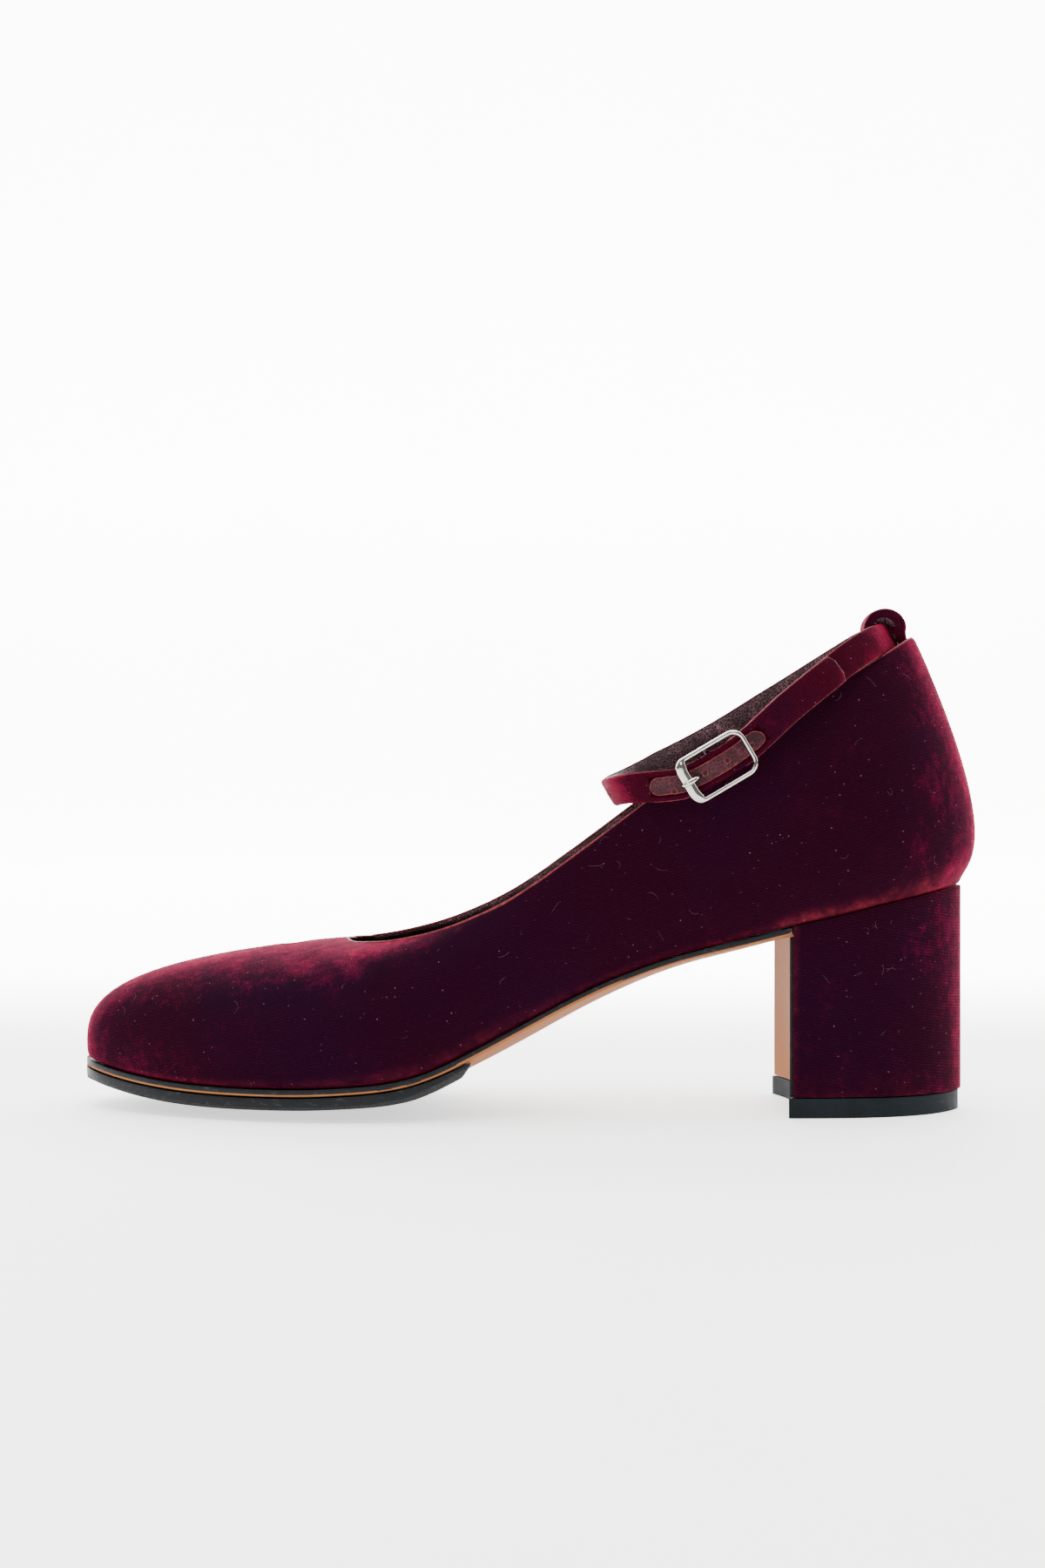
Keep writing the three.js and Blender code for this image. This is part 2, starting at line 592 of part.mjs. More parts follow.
function strapCentre(row) {
  const at = closedRow(STRAP_PATH, row);
  const x = COLLAR_BACK + STRAP_SETBACK + at.reach * STRAP_REACH;
  const collar = rowAt(OUTER_SIDE, "collarX", x);
  return new THREE.Vector3(x, at.spread * STRAP_SPREAD, collar.collarZ + at.lift * STRAP_WIDTH);
}

// Directions at a place on the strap's path: along it to the front, up its width, and outwards.
function strapFrame(row) {
  const along = strapCentre(row + TANGENT_STEP)
    .sub(strapCentre(row - TANGENT_STEP))
    .normalize();
  const up = STRAP_UP.clone().addScaledVector(along, -STRAP_UP.dot(along)).normalize();
  return { along, up, outward: up.clone().cross(along) };
}

// The strap lies on itself once it has come round, and goes over the buckle's centre bar.
function strapRise(travel) {
  const round = THREE.MathUtils.smoothstep(travel, FULL_TURN - LAP_START, FULL_TURN - LAP_END);
  const past = Math.min(1, Math.abs(travel - FULL_TURN) / HUMP_REACH);
  return LAYER * round + (HUMP * (1 + Math.cos(Math.PI * past))) / 2;
}

// A band's cross-section with round edges, as pairs of distances up and outwards.
function bandSection(width, thickness) {
  const round = thickness / 2;
  const points = [];
  for (const side of [1, -1])
    for (let k = 0; k <= BAND_EDGE_STEPS; k++) {
      const angle = (k * Math.PI) / BAND_EDGE_STEPS - Math.PI / 2;
      points.push([side * (width / 2 - round + round * Math.cos(angle)), side * round * Math.sin(angle)]);
    }
  return points;
}

// A band laid along the strap's path between two lengths of travel from the buckle's centre bar.
function strapBand(from, to, width, thickness, proud, endShare) {
  const travels = [from];
  for (let k = Math.floor(from * STRAP_STEPS_PER_ROW) + 1; k / STRAP_STEPS_PER_ROW < to; k++)
    travels.push(k / STRAP_STEPS_PER_ROW);
  travels.push(to);
  const rings = [];
  for (const travel of travels) {
    const row = BUCKLE_ROW - travel;
    const { up, outward } = strapFrame(row);
    const centre = strapCentre(row).addScaledVector(outward, strapRise(travel) + proud);
    const narrow = travel === to ? endShare : 1;
    rings.push(
      bandSection(width, thickness).map(([high, out]) =>
        centre
          .clone()
          .addScaledVector(up, high * narrow)
          .addScaledVector(outward, out),
      ),
    );
  }
  return ringSkin(rings, true);
}

// The buckle's own frame: X along the strap to the front, Y down its width, Z outwards.
const BUCKLE = new THREE.Matrix4();
{
  const { along, up, outward } = strapFrame(BUCKLE_ROW);
  BUCKLE.makeBasis(along, up.negate(), outward).setPosition(strapCentre(BUCKLE_ROW));
}

function ring(outerRadius, innerRadius, width) {
  const shape = new THREE.Shape().absarc(0, 0, outerRadius, 0, 2 * Math.PI);
  shape.holes.push(new THREE.Path().absarc(0, 0, innerRadius, 0, 2 * Math.PI, true));
  const options = { depth: width, bevelEnabled: false, curveSegments: RING_STEPS };
  const extruded = new THREE.ExtrudeGeometry(shape, options);
  return extruded.translate(0, 0, -width / 2).rotateX(Math.PI / 2);
}

function rod(radius, length) {
  return new THREE.CylinderGeometry(radius, radius, length, ROD_SIDES);
}

function prongRod(radius) {
  const top = FRAME_LIFT + FRAME_THICKNESS / 2 + FIT + PRONG_RADIUS;
  const bar = FRAME_LENGTH / 2 - FRAME_END_BAR / 2;
  const curve = new THREE.CatmullRomCurve3([
    new THREE.Vector3(BAR_RADIUS + FIT + EYE_WALL * PRONG_SEATING, 0, BAR_LIFT),
    new THREE.Vector3(bar * PRONG_LOW_END, 0, BAR_LIFT),
    new THREE.Vector3(bar * PRONG_MIDDLE, 0, (BAR_LIFT + top) / 2),
    new THREE.Vector3(bar * PRONG_HIGH_START, 0, top),
    new THREE.Vector3(bar + FRAME_END_BAR * PRONG_SEATING, 0, top),
  ]);
  const section = new THREE.Shape().absarc(0, 0, radius, 0, 2 * Math.PI);
  const options = { extrudePath: curve, steps: PRONG_STEPS, curveSegments: BAND_EDGE_STEPS };
  return new THREE.ExtrudeGeometry(section, options);
}

const PRONG_WIDTH = 2 * PRONG_RADIUS;

function stripBand(extra) {
  const endGap = extra * STRIP_END_GAP;
  const lift = STRAP_THICKNESS / 2 + STRIP_PROUD - STRIP_THICKNESS / 2;
  return strapBand(
    FULL_TURN + BUCKLE_ROW - STRIP_START_ROW - endGap,
    FULL_TURN + BUCKLE_ROW - STRIP_END_ROW + endGap,
    STRIP_WIDTH + extra,
    STRIP_THICKNESS + extra,
    lift,
    1,
  );
}

function ankleStrap() {
  const band = strapBand(STRAP_START, FULL_TURN + TAIL_END, STRAP_WIDTH, STRAP_THICKNESS, 0, TAIL_POINT);
  const eye = ring(EYE_RADIUS, BAR_RADIUS + FIT, STRAP_WIDTH).translate(0, 0, BAR_LIFT);
  const bore = rod(BAR_RADIUS + FIT, STRAP_WIDTH + 2).translate(0, 0, BAR_LIFT);
  const depth = 2 * EYE_RADIUS + FIT;
  const notch = new THREE.BoxGeometry(depth, PRONG_WIDTH + 2 * FIT, depth).translate(0, 0, BAR_LIFT);
  return cutBy(
    joined(band, eye.applyMatrix4(BUCKLE)),
    bore.applyMatrix4(BUCKLE),
    notch.applyMatrix4(BUCKLE),
    prongRod(PRONG_RADIUS + FIT).applyMatrix4(BUCKLE),
    stripBand(2 * FIT),
  );
}

function holeStrip() {
  return cutBy(stripBand(0), prongRod(PRONG_RADIUS + FIT).applyMatrix4(BUCKLE));
}

// Buckle

function roundedRectangle(shape, length, width, corner) {
  const [x, y] = [length / 2, width / 2];
  shape.moveTo(-x + corner, -y);
  shape.lineTo(x - corner, -y);
  shape.absarc(x - corner, -y + corner, corner, -Math.PI / 2, 0);
  shape.lineTo(x, y - corner);
  shape.absarc(x - corner, y - corner, corner, 0, Math.PI / 2);
  shape.lineTo(-x + corner, y);
  shape.absarc(-x + corner, y - corner, corner, Math.PI / 2, Math.PI);
  shape.lineTo(-x, -y + corner);
  shape.absarc(-x + corner, -y + corner, corner, Math.PI, 1.5 * Math.PI);
  return shape;
}

function buckleFrame() {
  const round = FRAME_BEVEL;
  const outline = roundedRectangle(
    new THREE.Shape(),
    FRAME_LENGTH - 2 * round,
    FRAME_WIDTH - 2 * round,
    FRAME_CORNER - round,
  );
  const window = roundedRectangle(
    new THREE.Path(),
    FRAME_LENGTH - 2 * FRAME_END_BAR + 2 * round,
    FRAME_WIDTH - 2 * FRAME_SIDE_BAR + 2 * round,
    FRAME_CORNER - FRAME_SIDE_BAR + round,
  );
  outline.holes.push(window);
  const plate = new THREE.ExtrudeGeometry(outline, {
    depth: FRAME_THICKNESS - 2 * round,
    bevelThickness: round,
    bevelSize: round,
    bevelSegments: 1,
    curveSegments: CORNER_STEPS,
  }).translate(0, 0, FRAME_LIFT - FRAME_THICKNESS / 2 + round);
  const side = FRAME_WIDTH / 2 - FRAME_SIDE_BAR / 2;
  const centreBar = rod(BAR_RADIUS, 2 * side).translate(0, 0, BAR_LIFT);
  const posts = [-side, side].map((y) =>
    rod(FRAME_SIDE_BAR / 2, FRAME_LIFT - BAR_LIFT + BAR_RADIUS)
      .rotateX(Math.PI / 2)
      .translate(0, y, (FRAME_LIFT + BAR_LIFT - BAR_RADIUS) / 2),
  );
  return joined(plate, centreBar, ...posts).applyMatrix4(BUCKLE);
}

function buckleProng() {
  const eye = ring(BAR_RADIUS + FIT + EYE_WALL, BAR_RADIUS + FIT / 2, PRONG_WIDTH).translate(0, 0, BAR_LIFT);
  return joined(prongRod(PRONG_RADIUS), eye).applyMatrix4(BUCKLE);
}

// Back loop

function backLoop() {
  const back = OUTER_SIDE[0];
  const innerFace = back.collarX + UPPER_WALL + 2 * FIT + LOOP_THICKNESS / 2;
  const foot = back.collarZ - LOOP_BURIED;
  const count = LOOP_PATH.length * LOOP_STEPS_PER_ROW;
  const nape = OUTER_SIDE[1];
  const bend = (nape.collarY * nape.collarY) / (2 * (nape.collarX - back.collarX)) - UPPER_WALL;
  const centre = (row) => {
    const at = closedRow(LOOP_PATH, row);
    return new THREE.Vector3(innerFace + at.forward * LOOP_DEPTH, 0, foot + at.up * LOOP_HEIGHT);
  };
  const rings = [];
  for (let k = 0; k < count; k++) {
    const row = k / LOOP_STEPS_PER_ROW;
    const along = centre(row + TANGENT_STEP)
      .sub(centre(row - TANGENT_STEP))
      .normalize();
    const outward = new THREE.Vector3(-along.z, 0, along.x);
    rings.push(
      bandSection(LOOP_WIDTH, LOOP_THICKNESS).map(([y, out]) => {
        const point = centre(row).addScaledVector(outward, out);
        return point.add(new THREE.Vector3((y * y) / (2 * bend), y, 0));
      }),
    );
  }
  return ringSkin(rings, false);
}

// Assembly

const FINISHES = {
  velvet: { color: 0x4a0f24, roughness: 0.95, metalness: 0 },
  sock: { color: 0x3c1c26, roughness: 0.5, metalness: 0 },
  tanLeather: { color: 0xcd9b7d, roughness: 0.55, metalness: 0 },
  rubber: { color: 0x23282c, roughness: 0.8, metalness: 0 },
  lining: { color: 0x5a2430, roughness: 0.45, metalness: 0 },
  polished: { color: 0xd6d0c6, roughness: 0.15, metalness: 1 },
};

function named(name, geometry, finish) {
  const material = new THREE.MeshStandardMaterial(FINISHES[finish]);
  const mesh = new THREE.Mesh(geometry, material);
  mesh.name = name;
  return mesh;
}

const bottom = new THREE.Group();
bottom.add(
  named("insole", insole(), "sock"),
  named("outsole", outsole(), "tanLeather"),
  named("half_sole", halfSole(), "rubber"),
  named("heel_block", heelBlock(), "velvet"),
  named("breast_cover", breastCover(), "tanLeather"),
  named("top_piece", topPiece(), "rubber"),
);

const fastening = new THREE.Group();
fastening.add(
  named("ankle_strap", ankleStrap(), "velvet"),
  named("hole_strip", holeStrip(), "lining"),
  named("buckle_frame", buckleFrame(), "polished"),
  named("buckle_prong", buckleProng(), "polished"),
  named("back_loop", backLoop(), "velvet"),
);

const shoe = new THREE.Group();
shoe.add(named("upper", upper(), "velvet"), bottom, fastening);

export default shoe;
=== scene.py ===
# %% [markdown]
# A velvet mary jane pump
#
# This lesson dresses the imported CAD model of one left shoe: a burgundy velvet pump with a covered block
# heel, a tan leather sole and a buckled ankle strap. The CAD model already has the right sizes and places.
# Here every piece gets the soft edges, seams, lining, pile and wear that the real one shows.
# Lengths are in metres: +X runs from heel to toe, +Y to the buckle side and +Z up.

# %% Load the frame
import bmesh
import bpy
import math
import random
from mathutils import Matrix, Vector
from mathutils.bvhtree import BVHTree


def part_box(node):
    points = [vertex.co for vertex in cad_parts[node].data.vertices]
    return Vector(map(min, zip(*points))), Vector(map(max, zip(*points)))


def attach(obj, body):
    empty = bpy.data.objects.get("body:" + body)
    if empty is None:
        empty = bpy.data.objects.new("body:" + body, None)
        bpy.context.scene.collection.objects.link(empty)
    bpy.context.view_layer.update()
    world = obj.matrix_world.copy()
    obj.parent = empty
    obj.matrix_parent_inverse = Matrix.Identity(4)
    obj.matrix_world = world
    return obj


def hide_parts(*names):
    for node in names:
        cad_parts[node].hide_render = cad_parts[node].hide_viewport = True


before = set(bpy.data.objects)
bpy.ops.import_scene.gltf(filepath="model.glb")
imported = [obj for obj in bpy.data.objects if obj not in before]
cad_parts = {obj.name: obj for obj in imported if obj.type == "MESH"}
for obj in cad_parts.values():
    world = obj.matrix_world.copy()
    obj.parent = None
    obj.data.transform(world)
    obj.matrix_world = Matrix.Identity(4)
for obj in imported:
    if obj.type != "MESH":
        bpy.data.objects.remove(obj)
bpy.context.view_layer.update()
MM = 0.001
print("nodes:", sorted(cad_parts))

# %% [markdown]
# The camera comes first, because it decides what has to be good. The photo was taken level with the ankle
# strap, about 65 cm to the side of the shoe. The same standpoint is kept, and the camera is only turned a
# little towards the toe and given a shorter lens, so that the whole shoe is in view.

# %% Camera
CAMERA_PLACE = Vector((82.1, 653.9, 89.2)) * MM
CAMERA_TURN = math.radians(1.0)
CAMERA_DIP = math.radians(0.2)
CAMERA_LENS = 55.5
SENSOR_WIDTH = 36
NEAREST_SEEN = 0.02


def new_object(name, data):
    """An object that holds the data, linked into the scene."""
    made = bpy.data.objects.new(name, data)
    bpy.context.scene.collection.objects.link(made)
    return made


camera_data = bpy.data.cameras.new("photo_camera")
camera_data.lens = CAMERA_LENS
camera_data.sensor_width = SENSOR_WIDTH
camera_data.clip_start = NEAREST_SEEN
camera = new_object("photo_camera", camera_data)
looking = Vector((math.sin(CAMERA_TURN), -math.cos(CAMERA_TURN), -math.sin(CAMERA_DIP)))
camera.location = CAMERA_PLACE
camera.rotation_euler = looking.to_track_quat("-Z", "Y").to_euler()
bpy.context.scene.camera = camera
print("camera at", tuple(round(v, 3) for v in camera.location))

# %% [markdown]
# A studio floor is a sheet of paper that runs on up the wall, with no corner to catch a shadow. It is made
# from a plane whose far edge is extruded in steps round a quarter circle, far enough back to leave room for
# a look at the shoe from its other side.

# %% Floor and backdrop
FLOOR_FRONT = 1.6
FLOOR_BACK = -1.6
FLOOR_HALF_WIDTH = 2.4
BEND_RADIUS = 0.4
BEND_STEPS = 14
WALL_HEIGHT = 2.2


def alone(piece):
    """Selects one object and makes it the active one."""
    bpy.ops.object.select_all(action="DESELECT")
    piece.select_set(True)
    bpy.context.view_layer.objects.active = piece


def make_backdrop():
    """A wide floor whose far edge curves up into a wall."""
    bpy.ops.object.select_all(action="DESELECT")
    bpy.ops.mesh.primitive_plane_add(size=2)
    floor = bpy.context.active_object
    floor.name = "backdrop"
    for corner in floor.data.vertices:
        corner.co.x *= FLOOR_HALF_WIDTH
        corner.co.y = FLOOR_FRONT if corner.co.y > 0 else FLOOR_BACK
    shape = bmesh.new()
    shape.from_mesh(floor.data)
    edge = next(e for e in shape.edges if all(v.co.y < 0 for v in e.verts))
    stretch = BEND_RADIUS * math.pi / 2 / BEND_STEPS
    turns = [(k + 0.5) / BEND_STEPS * math.pi / 2 for k in range(BEND_STEPS)]
    moves = [Vector((0, -stretch * math.cos(t), stretch * math.sin(t))) for t in turns]
    for move in [*moves, Vector((0, 0, WALL_HEIGHT))]:
        made = bmesh.ops.extrude_edge_only(shape, edges=[edge])["geom"]
        edges = [e for e in made if isinstance(e, bmesh.types.BMEdge)]
        edge = next(e for e in edges if all(v in made for v in e.verts))
        bmesh.ops.translate(shape, vec=move, verts=list(edge.verts))
    bmesh.ops.recalc_face_normals(shape, faces=shape.faces)
    shape.to_mesh(floor.data)
    shape.free()
    alone(floor)
    bpy.ops.object.shade_smooth()
    return floor


backdrop = make_backdrop()
print("backdrop faces:", len(backdrop.data.polygons))

# %% [markdown]
# The studio light is broad and soft: a large box overhead, one behind the heel that makes the pile glow
# along the counter, one behind the toe, and a weak fill from the camera's side that keeps the side of the
# velvet dark.

# %% Lights
AIM = Vector((0.09, 0, 0.05))
WORLD_LIGHT = 0.3
BOXES = [
    # name, place, width, height and power
    ("overhead_box", (0.15, 0.1, 1.5), 1.8, 1.4, 54),
    ("heel_box", (-1.2, -0.25, 0.75), 0.8, 1.1, 16),
    ("toe_box", (1.3, -0.1, 0.8), 0.8, 1.0, 9),
    ("front_fill", (0.7, 1.7, 1.1), 1.0, 0.8, 14),
]


def soft_box(name, place, width, height, power):
    """A rectangular lamp that points at the shoe."""
    lamp = bpy.data.lights.new(name, "AREA")
    lamp.shape = "RECTANGLE"
    lamp.size = width
    lamp.size_y = height
    lamp.energy = power
    box = new_object(name, lamp)
    box.location = place
    box.rotation_euler = (AIM - Vector(place)).to_track_quat("-Z", "Y").to_euler()


for row in BOXES:
    soft_box(*row)
world = bpy.data.worlds.new("studio_white")
world.use_nodes = True
background = world.node_tree.nodes["Background"].inputs
background["Color"].default_value = (1, 1, 1, 1)
background["Strength"].default_value = WORLD_LIGHT
bpy.context.scene.world = world

# %% [markdown]
# Materials are small graphs of nodes. These helpers keep them short: one adds a node and fills its sockets,
# and the others give the patterns that nearly every finish needs. A socket knows the tree it is in, so most
# helpers find it there. Each pattern reads Object coordinates, so it stays on the piece, and a scale of 1000
# gives spots of about a millimetre.


# %% Helpers for materials
def new_material(name, roughness, specular, others=None):
    """A material whose constants are set on the shader's own sockets."""
    material = bpy.data.materials.new(name)
    material.use_nodes = True
    shader = material.node_tree.nodes["Principled BSDF"]
    sockets = {"Roughness": roughness, "Specular IOR Level": specular, **(others or {})}
    for socket, value in sockets.items():
        shader.inputs[socket].default_value = value
    return material, material.node_tree, shader


def add(tree, kind, inputs, **settings):
    """A new node. Its inputs are numbers, colours or the sockets that feed them."""
    made = tree.nodes.new("ShaderNode" + kind)
    for name, value in settings.items():
        setattr(made, name, value)
    for name, value in inputs.items():
        if isinstance(value, bpy.types.NodeSocket):
            tree.links.new(value, made.inputs[name])
        else:
            made.inputs[name].default_value = value
    return made


def place_on(tree, stretch=(1, 1, 1), turn=(0, 0, 0)):
    """Object coordinates, stretched and turned."""
    spot = add(tree, "TexCoord", {}).outputs["Object"]
    return add(tree, "Mapping", {"Vector": spot, "Scale": stretch, "Rotation": turn}).outputs["Vector"]


def noise(place, scale, detail=3.0, roughness=0.5):
    inputs = {"Vector": place, "Scale": scale, "Detail": detail, "Roughness": roughness}
    return add(place.id_data, "TexNoise", inputs).outputs["Fac"]


def cells(place, scale, feature="F1"):
    return add(place.id_data, "TexVoronoi", {"Vector": place, "Scale": scale}, feature=feature)


def spread(value, low, high, to_low=0.0, to_high=1.0):
    """Maps low..high to to_low..to_high softly."""
    inputs = {"Value": value, "From Min": low, "From Max": high, "To Min": to_low, "To Max": to_high}
    return add(value.id_data, "MapRange", inputs, interpolation_type="SMOOTHSTEP").outputs["Result"]


def sums(kind, a, b):
    return add(a.id_data, "Math", {0: a, 1: b}, operation=kind).outputs["Value"]


def times(a, b):
    return sums("MULTIPLY", a, b)


def plus(a, b):
    return sums("ADD", a, b)


def blend(share, a, b):
    """Colour a where the share is 0 and b where it is 1."""
    return add(share.id_data, "Mix", {0: share, 6: a, 7: b}, data_type="RGBA").outputs[2]


def relief(shader, height, strength, depth):
    """Feeds a height into the shader's normal."""
    inputs = {"Height": height, "Strength": strength, "Distance": depth}
    feed(shader, "Normal", add(shader.id_data, "Bump", inputs).outputs["Normal"])


def feed(shader, socket, value):
    shader.id_data.links.new(value, shader.inputs[socket])


# %% [markdown]
# Velvet is a woven ground with a dense upright pile. Looked at from the front, the pile swallows the light
# and the cloth is almost black plum. Looked at along the surface, the sides of the threads light up
# crimson. So the colour follows Layer Weight: the wine and crimson towards the slant are painted sheen,
# and Sheen adds the glow. Fine ribs of the weave, brushed patches, rubbed places and dust come on top, and
# the ribs and brushed patches are painted in the sheen colour too. Where the cloth is rubbed is written on
# the mesh as an attribute, because it follows the shoe's seams.

# %% Velvet
PLUM = (0.0085, 0.0002, 0.0042, 1)
VIOLET = (0.0072, 0.0003, 0.0062, 1)
# The wine and the crimson below are painted sheen: the colours at a slant and along the surface.
WINE_SHEEN = (0.062, 0.0006, 0.014, 1)
CRIMSON_SHEEN = (0.185, 0.0022, 0.027, 1)
ROSE = (0.135, 0.012, 0.021, 1)
DUST = (0.3, 0.15, 0.19, 1)
# The strap's velvet colours: a lighter front, painted light from above, and darker painted sheen at a slant
# and along the surface, painted shade against the strong light on it.
STRAP_FRONT_LIT = (0.02, 0.0005, 0.0045, 1)
STRAP_SHADED_WINE_SHEEN = (0.09, 0.0014, 0.0145, 1)
STRAP_SHADED_CREST_SHEEN = (0.105, 0.0014, 0.016, 1)


def velvet(name, dark, lit, sheen_crest, openness, rib_turn, haze, weave):
    """dark, lit and the crest are the colours from the front, at a slant and along the surface; lit and the
    crest are painted sheen. openness says how early they change as the surface turns away, rib_turn how far
    the ribs are turned in degrees, haze how much is brushed up and weave how the ribs show."""
    sheen = {"Sheen Weight": 0.15, "Sheen Roughness": 0.35, "Sheen Tint": (0.8, 0.035, 0.13, 1)}
    material, tree, shader = new_material(name, 0.92, 0.03, sheen)
    place = place_on(tree)
    patches = noise(place, 48, 5, 0.62)
    brushed = noise(place_on(tree, (1, 1, 0.45)), 120, 5, 0.7)
    nap = noise(place, 380, 4, 0.65)
    grain = noise(place, 2600, 2, 0.7)

    # The ribs fade where the surface faces up, because level bands would draw rings there.
    wave = {"Vector": place_on(tree, turn=(0, math.radians(rib_turn), 0)), "Scale": 420}
    wave.update({"Distortion": 1.6, "Detail": 2, "Detail Scale": 3})
    ribs = add(tree, "TexWave", wave, bands_direction="Z").outputs["Fac"]
    normal = add(tree, "TexCoord", {}).outputs["Normal"]
    level = add(tree, "SeparateXYZ", {"Vector": normal}).outputs["Z"]
    upright = spread(times(level, level), 0.1, 0.45, 1, 0)
    ribs = plus(times(sums("SUBTRACT", ribs, 0.5), upright), 0.5)

    # Each uneven layer shifts the slant at which a spot lights up.
    turned = add(tree, "LayerWeight", {"Blend": 0.5}).outputs["Facing"]
    layers = [(patches, 0.3, 0.7, 0.15), (brushed, 0.3, 0.7, 0.1), (nap, 0.3, 0.7, 0.11)]
    layers += [(grain, 0.25, 0.75, 0.2), (ribs, 0, 1, weave)]
    for layer, low, high, shift in layers:
        turned = plus(turned, spread(layer, low, high, -shift, shift))
    colour = blend(spread(noise(place, 22, 3, 0.5), 0.4, 0.65), dark, VIOLET)
    # Brushed patches and the grain along the ribs are painted towards the lit colour: brushed pile shown as
    # painted sheen.
    lifted = times(spread(patches, 0.5, 0.72), spread(brushed, 0.35, 0.7))
    lifted = times(lifted, spread(nap, 0.35, 0.65, 0.25, 1))
    colour = blend(times(lifted, haze), colour, lit)
    colour = blend(spread(times(ribs, grain), 0.25, 0.6, 0, 0.16), colour, lit)
    # Painted sheen: at a slant the colour turns to lit, and along the surface to the crest.
    colour = blend(spread(turned, 0.28 - openness, 0.76 - openness), colour, lit)
    colour = blend(spread(turned, 0.64 - openness, 1.06 - openness), colour, sheen_crest)

    # Rubbed places are broken up by two noises, and dust lies on as rare specks.
    rubbed = add(tree, "Attribute", {}, attribute_name="rub").outputs["Fac"]
    broken = spread(noise(place, 420, 4, 0.7), 0.3, 0.68)
    patchy = spread(noise(place, 130, 3, 0.6), 0.35, 0.65, 0.35, 1)
    share = times(rubbed, plus(times(broken, 0.7), 0.3))
    colour = blend(times(share, patchy), colour, ROSE)
    speck = cells(place, 900)
    near = spread(speck.outputs["Distance"], 0.1, 0.2, 1, 0)
    chances = add(tree, "SeparateColor", {"Color": speck.outputs["Color"]}).outputs
    there = spread(chances[0], 0.84, 0.88)
    rare = times(there, spread(chances[1], 0.2, 1, 0.02, 0.36))
    feed(shader, "Base Color", blend(times(near, rare), colour, DUST))
    height = plus(times(grain, 0.7), times(ribs, 0.35))
    relief(shader, height, 0.45, 0.0003)
    return material


upper_velvet = velvet("upper_velvet", PLUM, WINE_SHEEN, CRIMSON_SHEEN, -0.04, -14, 0.13, 0.025)
heel_velvet = velvet("heel_velvet", PLUM, WINE_SHEEN, CRIMSON_SHEEN, -0.05, 10, 0.12, 0.08)
# The strap's copy of the velvet is painted lighter from the front and darker at a slant, for the light on
# it.
strap_velvet = velvet("strap_velvet", STRAP_FRONT_LIT, STRAP_SHADED_WINE_SHEEN, STRAP_SHADED_CREST_SHEEN, -0.01, 30, 1.0, 0.02)
print("velvets:", [m.name for m in (upper_velvet, heel_velvet, strap_velvet)])

# %% [markdown]
# The lining and the little strip with the holes are thin dark leather that has crackled: a net of fine
# lines catches the light. Voronoi cells measured to their edges give such a net. Paler, glossier flecks
# on it are painted glints. The cut edges are painted pink.


# %% Lining, strip and painted edges
def crackled(name, ground, cracks_and_glints, scale, gloss):
    """Dark leather with a net of paler crack lines, and paler, glossier flecks that are painted glints."""
    material, tree, shader = new_material(name, gloss, 0.12)
    place = place_on(tree)
    net = cells(place, scale, "DISTANCE_TO_EDGE").outputs["Distance"]
    patch = spread(noise(place, 160, 4, 0.6), 0.35, 0.65)
    line = times(spread(net, 0.03, 0.12, 1, 0), plus(patch, 0.15))
    # Paler, glossier flecks: painted glints.
    glint_fleck = spread(noise(place, 2200, 2, 0.7), 0.62, 0.75)
    tint = blend(patch, tuple(c * 0.65 for c in ground[:3]) + (1,), ground)
    colour = blend(times(line, 0.7), tint, cracks_and_glints)
    feed(shader, "Base Color", blend(times(glint_fleck, 0.35), colour, cracks_and_glints))
    feed(shader, "Roughness", spread(glint_fleck, 0, 1, gloss + 0.1, gloss - 0.25))
    relief(shader, sums("SUBTRACT", glint_fleck, line), 0.5, 0.0002)
    return material


def plain_edge(name, colour, darker, roughness):
    """One slightly uneven colour, for paint, fibres and glue."""
    material, tree, shader = new_material(name, roughness, 0.12)
    uneven = noise(place_on(tree), 900, 4, 0.7)
    feed(shader, "Base Color", blend(spread(uneven, 0.35, 0.65), colour, darker))
    relief(shader, uneven, 0.3, 0.0002)
    return material


# The third colour serves both the crack lines and the painted glints.
lining = crackled("lining_leather", (0.024, 0.009, 0.012, 1), (0.19, 0.1, 0.115, 1), 1300, 0.42)
strip_leather = crackled("strip_leather", (0.028, 0.0075, 0.0115, 1), (0.085, 0.02, 0.026, 1), 1100, 0.5)
pink_edge = plain_edge("pink_edge", (0.17, 0.026, 0.03, 1), (0.075, 0.008, 0.012, 1), 0.6)
raw_edge = plain_edge("raw_edge", (0.12, 0.07, 0.075, 1), (0.06, 0.015, 0.02, 1), 0.8)
print("leathers:", [m.name for m in (lining, strip_leather, pink_edge, raw_edge)])

# %% [markdown]
# The sole is undyed tan leather with a faint grain and long fibres. Its edge is painted black, and the
# paint has worn dull in places. The half sole and the heel tip are rubber: one is pressed with a fine net
# of lozenges, and the other is plain blue-grey with dull scuffs.


# %% Sole leather, edge paint, rubber and metal
TAN = (0.2, 0.07, 0.023, 1)
LIGHT_TAN = (0.26, 0.1, 0.037, 1)
BLACK_PAINT = (0.003, 0.004, 0.0055, 1)
WORN_PAINT = (0.022, 0.027, 0.031, 1)
# The groove colour below is painted shade in the net's recesses.
NET_GROOVE_SHADE = (0.0025, 0.0033, 0.0043, 1)
NET_FACE = (0.0065, 0.0085, 0.0105, 1)
NET_SCUFF = (0.03, 0.034, 0.038, 1)
TIP_DARK = (0.0036, 0.0058, 0.0074, 1)
TIP_LIGHT = (0.0072, 0.0102, 0.0126, 1)
TIP_SCUFF = (0.035, 0.04, 0.045, 1)


